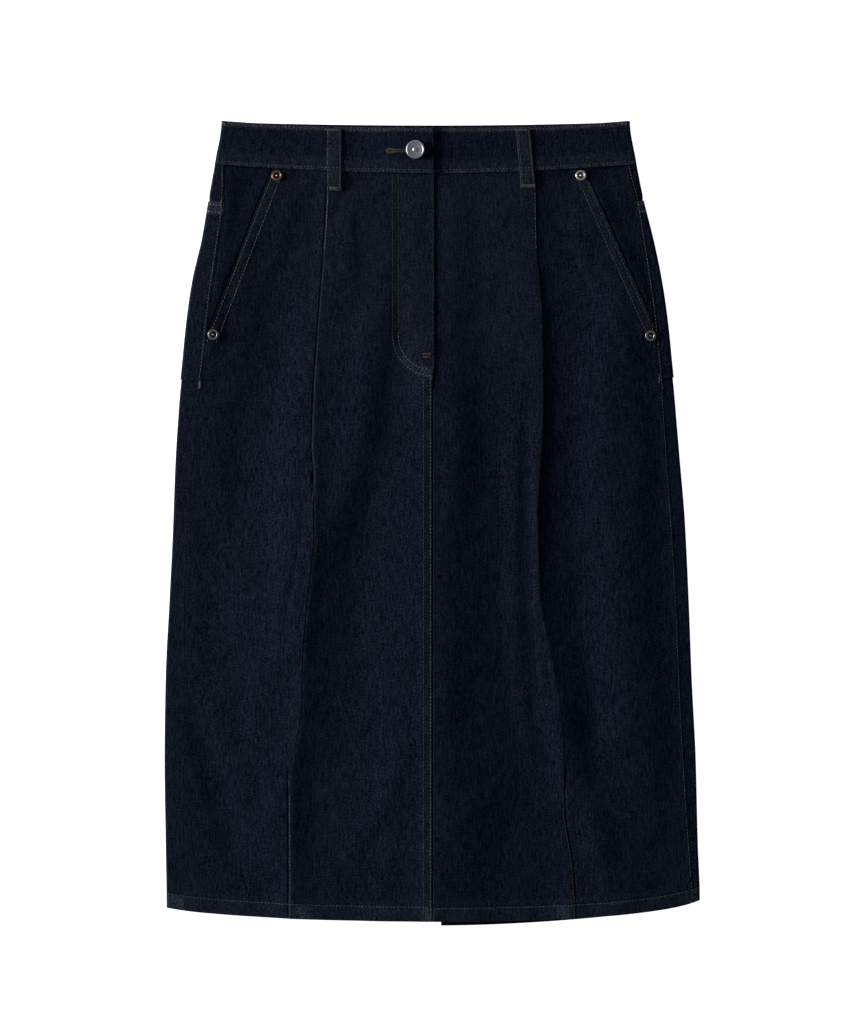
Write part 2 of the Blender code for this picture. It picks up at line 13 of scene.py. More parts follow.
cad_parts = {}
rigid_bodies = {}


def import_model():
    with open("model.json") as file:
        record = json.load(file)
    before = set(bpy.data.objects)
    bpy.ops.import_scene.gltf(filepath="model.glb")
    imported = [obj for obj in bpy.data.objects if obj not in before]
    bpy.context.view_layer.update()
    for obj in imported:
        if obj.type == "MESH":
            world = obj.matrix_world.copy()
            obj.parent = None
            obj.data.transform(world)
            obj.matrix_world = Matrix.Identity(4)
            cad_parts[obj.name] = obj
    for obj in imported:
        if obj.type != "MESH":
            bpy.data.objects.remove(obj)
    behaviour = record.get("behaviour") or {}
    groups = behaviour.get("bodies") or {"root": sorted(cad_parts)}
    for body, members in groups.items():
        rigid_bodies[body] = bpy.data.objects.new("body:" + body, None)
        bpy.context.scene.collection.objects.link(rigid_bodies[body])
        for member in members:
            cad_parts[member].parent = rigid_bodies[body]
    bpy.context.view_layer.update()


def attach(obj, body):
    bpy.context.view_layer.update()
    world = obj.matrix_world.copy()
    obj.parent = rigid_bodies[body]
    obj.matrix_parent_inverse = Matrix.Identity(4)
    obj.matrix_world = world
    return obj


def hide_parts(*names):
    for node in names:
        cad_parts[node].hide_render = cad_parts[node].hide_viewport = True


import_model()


# ---- The table and the light ----
# The skirt lies on a white light table and is seen straight down. One broad lamp stands low on its
# right-hand side, the left of the picture, and pale light comes from all round.

MM = 0.001
PICTURE = (853, 1024)
PICTURE_MIDDLE = (-5.2, 9.9)
PICTURE_PIXEL = 0.92
VIEW_HEIGHT = 3000.0
VIEW_FOCUS = 6.0
TABLE_SIZE = 6.0
TABLE_DROP = 0.0005
LAMP_RISE = math.radians(13)
LAMP_TURN = math.radians(10)
LAMP_FAR = 3.9
LAMP_SIZE = 1.3
LAMP_POWER = 352.0
ROUND_COLOUR = (0.76, 0.90, 1.30)
ROUND_POWER = 0.185

camera = bpy.data.objects.new("camera", bpy.data.cameras.new("camera"))
bpy.context.scene.collection.objects.link(camera)
bpy.context.scene.camera = camera
camera.location = Vector((*PICTURE_MIDDLE, VIEW_HEIGHT + VIEW_FOCUS)) * MM
camera.data.lens = camera.data.sensor_width * VIEW_HEIGHT / (PICTURE[1] * PICTURE_PIXEL)
camera.data.clip_end = 100.0

lamp = bpy.data.objects.new("lamp", bpy.data.lights.new("lamp", "AREA"))
bpy.context.scene.collection.objects.link(lamp)
lamp.data.shape = "DISK"
lamp.data.size = LAMP_SIZE
lamp.data.energy = LAMP_POWER
lamp_way = Vector((
    math.cos(LAMP_RISE) * math.cos(LAMP_TURN),
    -math.cos(LAMP_RISE) * math.sin(LAMP_TURN),
    -math.sin(LAMP_RISE),
))
lamp.rotation_euler = lamp_way.to_track_quat("-Z", "Y").to_euler()
lamp.location = -LAMP_FAR * lamp_way

bpy.context.scene.view_settings.view_transform = "Standard"


def node(tree, kind, inputs=None, **settings):
    """Adds a shader node, with values or links for its inputs."""
    made = tree.nodes.new(kind if kind.startswith("Node") else "ShaderNode" + kind)
    for name, value in settings.items():
        setattr(made, name, value)
    for name, value in (inputs or {}).items():
        if isinstance(value, bpy.types.NodeSocket):
            tree.links.new(value, made.inputs[name])
        else:
            made.inputs[name].default_value = value
    return made


round_light = bpy.data.worlds.new("round_light")
round_light.use_nodes = True
tree = round_light.node_tree
tree.nodes.clear()
seen = node(tree, "Background", {"Color": (1, 1, 1, 1), "Strength": 1.0})
fill = node(tree, "Background", {"Color": (*ROUND_COLOUR, 1), "Strength": ROUND_POWER})
ray = node(tree, "LightPath")
both = node(tree, "MixShader", {0: ray.outputs["Is Camera Ray"], 1: fill.outputs[0], 2: seen.outputs[0]})
node(tree, "OutputWorld", {"Surface": both.outputs[0]})
bpy.context.scene.world = round_light

table_mesh = bpy.data.meshes.new("table")
half = TABLE_SIZE / 2
table_mesh.from_pydata(
    [(x, y, -TABLE_DROP) for x, y in ((-half, -half), (half, -half), (half, half), (-half, half))],
    [], [(0, 1, 2, 3)],
)
table = bpy.data.objects.new("table", table_mesh)
bpy.context.scene.collection.objects.link(table)
table_white = bpy.data.materials.new("table_white")
table_white.use_nodes = True
shader = table_white.node_tree.nodes["Principled BSDF"]
shader.inputs["Base Color"].default_value = (0.8, 0.8, 0.8, 1)
shader.inputs["Roughness"].default_value = 0.9
shader.inputs["Emission Color"].default_value = (1, 1, 1, 1)
shader.inputs["Emission Strength"].default_value = 1.0
table_mesh.materials.append(table_white)


# ---- The two fronts ----
# Each front is one panel of indigo denim. A deep pleat starts at the waist seam, opens over the
# thigh into a soft ridge, and is folded again and tucked into the hem. The right front laps over
# the left at the centre, where a felled seam joins them below the fly.

CLOTH = 0.8
AIR = 0.2
LAYER = CLOTH + AIR
SEAM_GAP = 0.4
HEM_DEPTH = 13.5
HEM_RAMP = 7.0
HEM_EXTRA = 0.7
FOLD_RADIUS = 1.7
FOLD_EASE = 4.0
FOLD_REACH = 45.0
FRONT_X = 1.2
FLY_WIDTH = 38.5
FLY_END = 134.0
FLY_UNDERLAP = 12.0
CENTRE_LAP, CENTRE_UNDERLAP = 0.3, 4.0
FLY_RAMP = 16.0
CENTRE_ALLOWANCE = 1.2
FLY_BUMP = 0.9
SEAM_BUMP = 1.7
SEAM_EDGE = 1.3
POCKET_TOP_CLEAR, POCKET_TOP_FULL = 0.043, 0.049
POCKET_BOTTOM_FULL, POCKET_BOTTOM_CLEAR = 0.292, 0.298
POCKET_BOTTOM_SOFT = 0.42
POCKET_INSET = (0.256, 0.325)
POCKET_INNER = 95.0
FACING_REACH = 28.0
POCKET_SLOPES = {"back": (15, 3), "front": (65, 20)}
PLEAT_LEVEL = 0.2
SHARP_RIDGE = 1.3
CORNER_POWER = 14
NOMINAL_LENGTH = 680.0

RIGHT, LEFT = -1, 1
SHARP_VALLEY = {RIGHT: 2.2, LEFT: 1.8}
NAMES = {RIGHT: "right", LEFT: "left"}

# Distances from the front's centre line to the side fold and to the side seam
Side = namedtuple("Side", "height fold seam")
SIDES = {
    RIGHT: [
        Side(370, 195.3, 190.0),
        Side(334, 200.8, 192.4),
        Side(297, 207.3, 192.7),
        Side(260, 213.7, 197.6),
        Side(224, 222.0, 202.8),
        Side(187, 227.5, 207.5),
        Side(150, 231.2, 211.3),
        Side(113, 234.0, 216.0),
        Side(58, 237.6, 221.3),
        Side(-15, 240.4, 226.6),
        Side(-71, 243.2, 229.0),
        Side(-144, 246.8, 229.5),
        Side(-218, 247.8, 229.7),
        Side(-292, 246.8, 229.7),
        Side(-354, 245.9, 229.7),
    ],
    LEFT: [
        Side(370, 181.0, 174.0),
        Side(334, 186.5, 177.2),
        Side(297, 193.8, 186.0),
        Side(260, 203.0, 192.0),
        Side(224, 210.4, 197.8),
        Side(187, 215.9, 202.6),
        Side(150, 219.6, 206.3),
        Side(113, 222.4, 210.3),
        Side(58, 227.0, 213.9),
        Side(3, 231.6, 218.0),
        Side(-71, 235.2, 222.3),
        Side(-144, 238.0, 225.5),
        Side(-218, 241.7, 229.3),
        Side(-292, 243.5, 234.2),
        Side(-346, 245.4, 237.6),
    ],
}

# The pleat: where its edge lies, how far it laps over, how high it stands, how far it has opened,
# how wide the slope beside it is and what step is left at its edge; then where the front sinks
# lowest beside it, and how low
Pleat = namedtuple("Pleat", "height edge overlap rise opened slope step valley low")
PLEATS = {
    RIGHT: [
        Pleat(323, 97.2, 4, 3.0, 0.0, 30, 1.1, 78, 2.9),
        Pleat(260, 100.0, 4, 3.0, 0.0, 30, 1.0, 76, 2.8),
        Pleat(187, 105.3, 4, 3.2, 0.0, 34, 1.0, 62, 2.8),
        Pleat(113, 110.2, 4, 4.0, 0.0, 40, 1.0, 48, 2.8),
        Pleat(70, 111.5, 4, 5.2, 0.3, 50, 1.1, 51, 2.9),
        Pleat(40, 109.4, 4, 6.6, 0.7, 62, 0.9, 59, 3.0),
        Pleat(12, 109.2, 5, 7.6, 1.0, 72, 0.4, 65, 3.0),
        Pleat(-12, 109.2, 4, 8.0, 1.0, 76, 0.0, 70, 3.0),
        Pleat(-45, 112, 4, 8.2, 1.0, 76, 0.0, 71, 3.0),
        Pleat(-80, 116, 4, 8.0, 1.0, 74, 0.0, 71, 3.0),
        Pleat(-130, 119.6, 4, 7.2, 1.0, 70, 0.0, 73, 2.8),
        Pleat(-172, 120.6, 4, 5.8, 1.0, 60, 0.0, 81, 2.4),
        Pleat(-209, 126.8, 4, 4.4, 1.0, 44, 0.3, 92, 1.8),
        Pleat(-240, 132.4, 3, 3.2, 0.6, 30, 1.0, 104, 1.6),
        Pleat(-249, 132.8, 3, 3.0, 0.0, 28, 1.0, 106, 1.6),
        Pleat(-268, 132.8, 4, 3.0, 0.0, 28, 1.0, 100, 1.6),
        Pleat(-364, 132.6, 4, 3.0, 0.0, 28, 1.0, 80, 1.6),
    ],
    LEFT: [
        Pleat(323, 94.2, 4, 2.6, 0.0, 30, 0.5, 58, 2.2),
        Pleat(260, 95.0, 4, 2.5, 0.0, 30, 0.4, 56, 1.9),
        Pleat(212, 99.2, 4, 2.9, 0.0, 25, 1.0, 56, 1.6),
        Pleat(168, 101.2, 4, 3.4, 0.0, 24, 2.3, 54, 1.4),
        Pleat(120, 101.9, 4, 4.0, 0.0, 24, 3.4, 57, 1.5),
        Pleat(85, 101.3, 4, 4.4, 0.0, 24, 3.6, 59, 1.8),
        Pleat(49, 98.9, 4, 4.8, 0.0, 26, 3.4, 63, 2.3),
        Pleat(12, 96.8, 5, 5.0, 0.4, 30, 2.4, 67, 2.7),
        Pleat(-25, 96.6, 4, 5.0, 0.8, 34, 1.2, 69, 2.9),
        Pleat(-62, 97.6, 4, 4.9, 1.0, 36, 0.3, 70, 2.9),
        Pleat(-99, 103.6, 4, 4.6, 1.0, 34, 0.0, 70, 2.7),
        Pleat(-135, 110.6, 4, 4.2, 1.0, 34, 0.0, 71, 2.3),
        Pleat(-172, 116.6, 4, 3.6, 1.0, 34, 0.0, 74, 1.9),
        Pleat(-209, 119.2, 4, 2.9, 1.0, 40, 0.3, 84, 1.5),
        Pleat(-240, 119.8, 3, 2.4, 0.6, 52, 0.3, 92, 1.2),
        Pleat(-249, 120.0, 3, 2.2, 0.0, 60, 0.3, 95, 1.2),
        Pleat(-268, 120.8, 4, 2.2, 0.0, 60, 0.3, 98, 1.2),
        Pleat(-320, 128.4, 4, 2.2, 0.0, 60, 0.3, 104, 1.2),
        Pleat(-366, 130.6, 4, 2.2, 0.0, 60, 0.3, 100, 1.2),
    ],
}

# How far the left front stands off at the centre, where the thick seam holds it up
Centre = namedtuple("Centre", "height lift")
CENTRES = [
    Centre(330, 1.6),
    Centre(250, 2.3),
    Centre(172, 2.9),
    Centre(120, 3.7),
    Centre(67, 4.8),
    Centre(0, 6.2),
    Centre(-80, 6.9),
    Centre(-200, 6.7),
    Centre(-300, 5.3),
    Centre(-366, 2.8),
]

# The front pockets' slanted edges, from the waist seam down to the side seam
Slant = namedtuple("Slant", "top_height top low_height low")
SLANTS = {
    RIGHT: Slant(327.5, 147.9, 163.8, 210.1),
    LEFT: Slant(326.6, 138.0, 173.9, 203.9),
}

# Edges that run across: height at the sides, how far the middle dips, how squarely, and how
# much of a rounded corner there is besides
Edge = namedtuple("Edge", "side dip power corner")
WAIST_SEAM = Edge(330.7, 8.4, 1.7, 0)
FRONT_HEMS = {RIGHT: Edge(-354.3, 10.6, 2.3, 1.8), LEFT: Edge(-347.3, 14.8, 2.6, 4.6)}

# Soft folds besides the pleats: how high a ridge or how deep a trough, how wide it is to its left
# and right in the picture, and the points of X and height that it runs through
Fold = namedtuple("Fold", "lift left right path")
FOLDS = [
    Fold(2.2, 24, 24, [(-50, 205), (-53, 159), (-60, 122), (-64, 85), (-73, 49), (-82, 12), (-90, -16)]),
    Fold(2.2, 26, 140, [(-1, 178), (-1, 140), (-2, 112)]),
    Fold(0.6, 15, 7, [(-76, 290), (-75, 260), (-72, 214)]),
    Fold(0.8, 14, 15, [(-17, 322), (-17, 250), (-18, 190), (-17, 150)]),
    Fold(1.1, 17, 24, [(21, 290), (23, 250), (24, 172), (24, 120), (23, 67), (21, 20)]),
    Fold(1.6, 30, 60, [(-164, 315), (-180, 269), (-196, 225), (-206, 190)]),
    Fold(-2.3, 30, 42, [(-145, 165), (-157, 122), (-166, 85), (-168, 49), (-168, 12), (-166, -30)]),
    Fold(-0.6, 7, 7, [(-117, 24), (-124, -25), (-131, -71), (-136, -105)]),
    Fold(-1.8, 20, 24, [(-223, -172), (-209, -209), (-197, -246), (-188, -283), (-177, -319)]),
    Fold(0.7, 12, 11, [(-166, -163), (-164, -195)]),
    Fold(0.9, 18, 15, [(-28, -214), (-39, -246), (-60, -283), (-76, -319)]),
    Fold(1.4, 26, 34, [(-135, -215), (-137, -246), (-140, -283), (-143, -319)]),
    Fold(0.9, 15, 7, [(76, 70), (76, 20), (76, -34), (77, -90), (79, -135), (86, -172), (91, -200)]),
    Fold(-0.8, 9, 7, [(88, 100), (89, 40), (89, -20), (90, -75), (92, -103), (94, -131), (95, -172)]),
    Fold(1.2, 40, 50, [(150, 315), (165, 250), (174, 200), (176, 150)]),
    Fold(4.2, 44, 56, [
        (176, 190), (172, 159), (168, 122), (170, 85), (172, 12), (174, -62), (178, -117), (184, -172),
        (190, -250),
    ]),
    Fold(2.2, 26, 26, [(118, -165), (128, -209), (138, -246), (147, -283), (151, -325)]),
    Fold(0.7, 9, 13, [(145, -264), (149, -310)]),
    Fold(1.7, 34, 84, [(12, -225), (12, -280), (12, -330), (12, -374)]),
    Fold(2.0, 22, 58, [(163, -250), (163, -300), (163, -340), (163, -374)]),
]
FOLD_TAPER = 0.2
FREE_BELOW = 296
FREE_REACH = (1, 44)
BILLOW = 2.2
BILLOW_SOFTNESS = 0.6
UNEVEN = 0.32
UNEVEN_WAVES = 14


def mix(a, b, share):
    return a + (b - a) * share


def ramp(value, start, end):
    """0 up to start, 1 from end on, and a smooth rise between; start may be the larger."""
    share = np.clip((value - start) / (end - start), 0.0, 1.0)
    return share * share * (3 - 2 * share)


def curve(heights, values, height):
    """A smooth curve through the values, which stays between neighbouring ones; heights fall."""
    heights, values = np.array(heights, float)[::-1], np.array(values, float)[::-1]
    slopes = np.diff(values) / np.diff(heights)
    one, two = slopes[:-1], slopes[1:]
    same = one * two > 0
    inside = np.where(same, 2 * one * two / np.where(same, one + two, 1), 0)
    inside = np.concatenate([[0], inside, [0]])
    height = np.clip(height, heights[0], heights[-1])
    k = np.clip(np.searchsorted(heights, height, side="right") - 1, 0, len(heights) - 2)
    step = heights[k + 1] - heights[k]
    s = (height - heights[k]) / step
    return (
        (2 * s**3 - 3 * s**2 + 1) * values[k]
        + (s**3 - 2 * s**2 + s) * step * inside[k]
        + (3 * s**2 - 2 * s**3) * values[k + 1]
        + (s**3 - s**2) * step * inside[k + 1]
    )


def read(rows, column, height):
    """A table's column at this height."""
    return curve([row.height for row in rows], [getattr(row, column) for row in rows], height)


def edge_height(edge, across):
    """Height of a crosswise edge at this share of the way from the centre to the fold."""
    across = np.minimum(1.0, abs(across))
    dip = edge.dip * (1 - across**edge.power)
    return edge.side - dip - edge.corner * (1 - across**CORNER_POWER)


def fold_lift(x, y):
    """How far the soft folds lift the front at these points."""
    total = np.zeros_like(x)
    for lift, left, right, path in FOLDS:
        top, low = path[0][1], path[-1][1]
        middle = curve([p[1] for p in path], [p[0] for p in path], y)
        share = (top - y) / (top - low)
        taper = ramp(share, -FOLD_TAPER, FOLD_TAPER) * ramp(share, 1 + FOLD_TAPER, 1 - FOLD_TAPER)
        u = np.clip((x - middle) / np.where(x < middle, left, right), -1, 1)
        total += lift * taper * (1 - u * u) ** 2
    return total


waves = np.random.default_rng(7)
WAVE_SIZE = waves.uniform(26, 90, UNEVEN_WAVES)
WAVE_LEAN = waves.normal(0, 0.42, UNEVEN_WAVES)
WAVE_START = waves.uniform(0, 2 * math.pi, UNEVEN_WAVES)


def unevenness(x, y):
    """Small soft waves that run mostly up and down the cloth."""
    total = np.zeros_like(x)
    for size, lean, start in zip(WAVE_SIZE, WAVE_LEAN, WAVE_START):
        along = x * math.cos(lean) + y * math.sin(lean)
        fading = np.sin(y / (size * 1.9) + start * 2.3 + x / 210)
        total += np.sin(along * 2 * math.pi / size + start) * fading
    return total * math.sqrt(2 / UNEVEN_WAVES)


class Row:
    """One crosswise section of a half of the body: distances run out from the front's centre."""

    def __init__(self, side, share, hem):
        self.side, self.share, self.hem = side, share, hem
        self.side_height = mix(WAIST_SEAM.side, hem.side, share)
        self.to_hem = (1 - share) * (WAIST_SEAM.side - hem.side)
        self.cloth = CLOTH + HEM_EXTRA * ramp(self.to_hem, HEM_DEPTH + HEM_RAMP, HEM_DEPTH + 0.5)
        self.over_pocket = ramp(share, POCKET_TOP_CLEAR, POCKET_TOP_FULL) * ramp(
            share, POCKET_BOTTOM_CLEAR, POCKET_BOTTOM_FULL
        )
        self.soft_pocket = ramp(share, 0, POCKET_TOP_FULL) * ramp(
            share, POCKET_BOTTOM_SOFT, POCKET_BOTTOM_CLEAR
        )
        self.fold = read(SIDES[side], "fold", self.side_height)
        self.seam = read(SIDES[side], "seam", self.side_height)
        inset = ramp(share, POCKET_TOP_CLEAR, POCKET_TOP_FULL) * ramp(share, *POCKET_INSET[::-1])
        self.bend = self.fold - self.cloth / 2 - LAYER * inset
        slant = SLANTS[side]
        drop = (slant.top_height - self.height(slant.top)) / (slant.top_height - slant.low_height)
        self.slant = mix(slant.top, slant.low, drop)
        middle = self.height(self.fold / 2)
        self.pleat = Pleat(middle, *(read(PLEATS[side], c, middle) for c in Pleat._fields[1:]))

    def height(self, distance):
        across = distance / self.fold
        return mix(edge_height(WAIST_SEAM, across), edge_height(self.hem, across), self.share)

    def line(self, distance):
        """The X and height of each of these distances."""
        return np.c_[FRONT_X + self.side * distance, self.height(distance)]

    def back_level(self, distance):
        """Middle of the back panel's cloth, which lies over the back pocket."""
        start, end = POCKET_SLOPES["back"]
        slope = ramp(distance, POCKET_INNER - start, POCKET_INNER - end)
        return self.cloth / 2 + LAYER * self.over_pocket * slope

    def front_level(self, distance):
        """Middle of a single layer of cloth lying on the back panel, raised near the side fold."""
        stack = self.cloth + AIR
        start, end = POCKET_SLOPES["front"]
        pocket = LAYER * self.soft_pocket * ramp(distance, POCKET_INNER - start, POCKET_INNER - end)
        fold = (2 * FOLD_RADIUS - stack) * ramp(self.bend - distance, FOLD_REACH, FOLD_EASE)
        return self.cloth / 2 + stack + pocket + fold

    def over_facing(self, distance):
        """How far the pocket facing lifts the front panel."""
        slant = SLANTS[self.side]
        reach = ramp(distance, self.slant - FACING_REACH - 18, self.slant - FACING_REACH - 3)
        return LAYER * reach * ramp(self.side_height, slant.low_height - 38, slant.low_height - 12)

    def over_fly(self, distance):
        """How far the fly, and below it the centre seam's allowance, lift the right front."""
        fly = 2 * LAYER * ramp(distance, FLY_WIDTH + 13, FLY_WIDTH + 1.5)
        allowance = CENTRE_ALLOWANCE * ramp(distance, 20, 10)
        return mix(allowance, fly, ramp(self.height(0), FLY_END - FLY_RAMP - 8, FLY_END - 8))

    def relief(self, distance, top, start):
        """Lift of the front's middle part: level at the pleat, then low, then up to the centre."""
        centre = read(CENTRES, "lift", self.height(0))
        valley = min(self.pleat.valley, start - 5)
        rise = np.clip((distance - valley) / (start - valley), 0, 1) ** SHARP_VALLEY[self.side]
        outer = mix(self.pleat.low, top, rise)
        if self.side == LEFT:
            fly = ramp(self.height(0), FLY_END - FLY_RAMP, FLY_END)
            bump = mix(SEAM_BUMP, FLY_BUMP, fly) * ramp(distance, 50, 8)
            bump = bump * ramp(distance, mix(-0.9, 0.2, fly), mix(0.6, 2.4, fly))
            inner = mix(self.pleat.low, centre, ramp(distance, valley, 8))
            return np.where(distance > valley, outer, inner) + bump
        reach = mix(15, 6, ramp(self.height(0), FLY_END - FLY_RAMP, FLY_END))
        under = (centre + self.over_fly(distance)) * ramp(distance, 45, reach)
        inner = mix(self.pleat.low, centre + self.over_fly(0), ramp(distance, valley, 0))
        return np.maximum(under, np.where(distance > valley, outer, inner))

    def stand_off(self, distance):
        """How far the soft folds carry every layer of the front away from the back."""
        x, y = FRONT_X + self.side * distance, self.height(distance)
        free = ramp(self.bend - distance, *FREE_REACH)
        free = free * ramp(self.side_height, WAIST_SEAM.side, FREE_BELOW)
        lift = BILLOW + fold_lift(x, y) + UNEVEN * unevenness(x, y)
        return free * (lift + np.sqrt(lift**2 + BILLOW_SOFTNESS**2)) / 2


def turn(edge, low, high, outwards, steps):
    """Half a turn of cloth between two heights, its furthest point at this distance."""
    radius = (high - low) / 2
    angles = np.linspace(-math.pi / 2, math.pi / 2, steps + 1)
    across = edge - outwards * radius * (1 - np.cos(angles))
    return np.c_[across, (low + high) / 2 + radius * np.sin(angles)]


def offset_line(line, amount):
    """The line moved sideways, keeping its distance from the first one round bends."""
    ways = np.diff(line, axis=0)
    ways /= np.linalg.norm(ways, axis=1, keepdims=True)
    normals = np.c_[ways[:, 1], -ways[:, 0]]
    before, after = np.vstack([normals[:1], normals]), np.vstack([normals, normals[-1:]])
    middle = before + after
    middle /= np.linalg.norm(middle, axis=1, keepdims=True)
    return line + middle * (amount / np.maximum(0.6, (middle * before).sum(axis=1)))[:, None]


PUCKER = 6.6


def pucker(along, across, start=0.0):
    """The uneven ripple, from -1 to 1, that a row of stitches draws into the cloth."""
    phase = (along + 0.8 * across) * 2 * math.pi / PUCKER + start
    return (
        0.55 * np.sin(phase + 1.3 * np.sin(along / 23 + start))
        + 0.30 * np.sin(phase * 1.63 + 2 * start)
        + 0.15 * np.sin(phase * 0.41 + start)
    )


def dip(distance, width=1.1):
    """1 where a row of stitches sinks into the cloth, 0 beyond its width."""
    u = np.clip(distance / width, -1, 1)
    return (1 - u * u) ** 2


def band(distance, start, end, soft=1.0):
    """1 between two distances, 0 outside them."""
    return ramp(distance, start - soft, start + soft) * ramp(distance, end + soft, end - soft)


CENTRE_ROWS = (2.8, 9.0)
CENTRE_BAND = 10.6
SLANT_ROWS = {RIGHT: (2.4, 10.0), LEFT: (2.4, 8.7)}
HEM_ROWS = {RIGHT: 13.2, LEFT: 12.0}
TUCK_ROW = 0.9
TUCK_HEIGHTS = (-232, -246)
FLY_ROWS = (32.2, 37.6)
SLANT_LEAN = math.atan2(62, 160)
SLANT_WORN = {RIGHT: 0.05, LEFT: 0.09}

# Where the hem is thickest and has worn palest: its X, its half width and how worn it is
Spot = namedtuple("Spot", "x half worn")
HEM_SPOTS = [Spot(-120, 13, 0.46), Spot(-3, 8, 0.46), Spot(120, 12, 0.20)]


def hem_trim(row, x):
    """The hem, turned twice and stitched through so that it ropes: where it is, its lift and wear."""
    to_row = row.to_hem - HEM_ROWS[row.side]
    hem = band(row.to_hem, -4, HEM_ROWS[row.side] - 0.6)
    lift = hem * (0.20 + 0.10 * pucker(x, row.to_hem * 1.4, 0.4)) - 0.25 * dip(to_row, 1.6)
    wear_and_light = hem * (0.065 + 0.05 * pucker(x, row.to_hem * 1.4, 1.1)) + 0.10 * dip(row.to_hem, 1.4)
    return hem, lift, wear_and_light + 0.10 * dip(to_row, 1.8) * (0.6 + 0.4 * pucker(x, 0, 0.4))


def hem_patch(row, x):
    """The rubbed, spotty look of the hem where its layers pile up."""
    return 0.7 + 0.3 * pucker(x * 1.5, row.to_hem * 2, 3.0)


def front_trim(row, distance, visible):
    """Seam by seam: how much the stitched edges stand out and how far they are worn pale; besides, the
    painted light over the hips and the fly.
    """
    y = row.height(distance)
    x = FRONT_X + row.side * distance
    hem, lift, wear_and_light = hem_trim(row, x)
    for spot in HEM_SPOTS:
        wear_and_light = wear_and_light + spot.worn * hem * dip(x - spot.x, spot.half) * hem_patch(row, x)

    # The felled centre seam, or the fly's edge and its J-shaped rows
    low = ramp(y, FLY_END + 10, FLY_END - 4)
    if row.side == RIGHT:
        seam = band(distance, -4, CENTRE_BAND) * low
        lift += seam * (0.20 + 0.07 * pucker(y, distance, 1.0))
        for at in CENTRE_ROWS:
            lift -= 0.22 * low * dip(distance - at, 1.2)
            wear_and_light += 0.05 * low * dip(distance - at, 1.5) * (0.65 + 0.35 * pucker(y, 0, at))
        wear_and_light += 0.05 * seam * (0.6 + 0.4 * pucker(y, distance, 1.0))
        wear_and_light += 0.26 * (1 - low) * dip(distance - 0.2, 1.6) * (0.6 + 0.4 * pucker(y, 0, 6.0))
        for at in FLY_ROWS:
            along = fly_bend(distance, y, at)
            lift += 0.10 * dip(along + 2.4, 2.4) * pucker(y, distance, at)
            lift -= 0.20 * dip(along, 1.5)
            wear_and_light += 0.03 * dip(along, 2.2)
        bend = band(fly_bend(distance, y, 35), -5, 5) * ramp(y, FLY_END + 30, FLY_END + 8)
        wear_and_light += bend * (0.10 + 0.08 * pucker(y, distance, 5.0)) * (1 + ramp(distance, 14, 4))

    # The slanted pocket edge, turned in and stitched twice
    slant, rows = SLANTS[row.side], SLANT_ROWS[row.side]
    beyond = (row.slant - distance) * math.cos(SLANT_LEAN)
    pocket = ramp(row.side_height, slant.low_height - 6, slant.low_height + 2)
    roped = band(beyond, -4, rows[1] + 0.6) * pocket
    lift += roped * (0.20 + 0.10 * pucker(y, beyond, 2.0))
    for at in rows:
        lift -= 0.25 * pocket * dip(beyond - at, 1.5)
        wear_and_light += 0.03 * pocket * dip(beyond - at, 1.9)
    wear_and_light += roped * (SLANT_WORN[row.side] + 0.035 * pucker(y, beyond, 2.6))
    wear_and_light += 0.09 * pocket * dip(beyond, 1.8)

    # The side seam below the pocket
    below = (1 - pocket) * dip(row.seam - distance, 5.0)
    lift += below * 0.10
    wear_and_light += 0.02 * below

    # The tuck at the hem, stitched along its edge, and the pleat's rubbed edge above it
    tuck = ramp(y, *TUCK_HEIGHTS) * ramp(row.pleat.opened, 0.5, 0.1)
    inside = row.pleat.edge - distance
    lift -= 0.2 * tuck * dip(inside - TUCK_ROW, 1.3)
    wear_and_light += 0.06 * tuck * dip(inside - TUCK_ROW, 1.6)
    if row.side == RIGHT:
        wear_and_light += 0.05 * ramp(y, 20, 90) * dip(inside - 0.3, 2.4)
    else:
        wear_and_light += 0.07 * ramp(y, -200, -120) * ramp(y, 240, 190) * dip(inside - 1.4, 3.4)

    # Paler over the hips, most of all on the fly: partly faded cloth, partly painted light that lifts the
    # shade below the waistband and lights the fly.
    wear_and_light += 0.024 * ramp(y, 90, 230) * ramp(distance, 135, 85)
    if row.side == RIGHT:
        wear_and_light += 0.012 * (1 - low) * ramp(distance, 34, 26)

    # The waist seam
    lift += 0.1 * ramp(row.share * NOMINAL_LENGTH, 7, 1) * pucker(x, 0, 5.0)
    return lift * visible, np.clip(wear_and_light, 0, 1) * visible


def fly_bend(distance, y, at):
    """Distance outside the J-shaped row that runs this far from the edge."""
    bend_top = FLY_END + FLY_WIDTH
    return np.where(y > bend_top, distance - at, np.hypot(distance, y - bend_top) - at)


RIDGE_EDGE = 3.0
SIDE_BUMP = {RIGHT: 2.8, LEFT: 0.6}


def beside_pleat(pleat, distance, rise):
    """Height of the outer part of the front where it slopes up to the pleat."""
    share = np.clip(1 - (distance - pleat.edge) / pleat.slope, 0, 1)
    return (rise - min(pleat.step, rise)) * share**SHARP_RIDGE * ramp(distance - pleat.edge, 0.1, 1.4)


def beside_seam(row, distance):
    """Height of the cloth where it rides up against the back pocket's edge at the side seam."""
    gap = row.seam - distance
    low = SLANTS[row.side].low_height
    bump = SIDE_BUMP[row.side] * row.soft_pocket * ramp(row.side_height, low - 40, low + 30)
    return bump * ramp(gap, 21, 1.5)


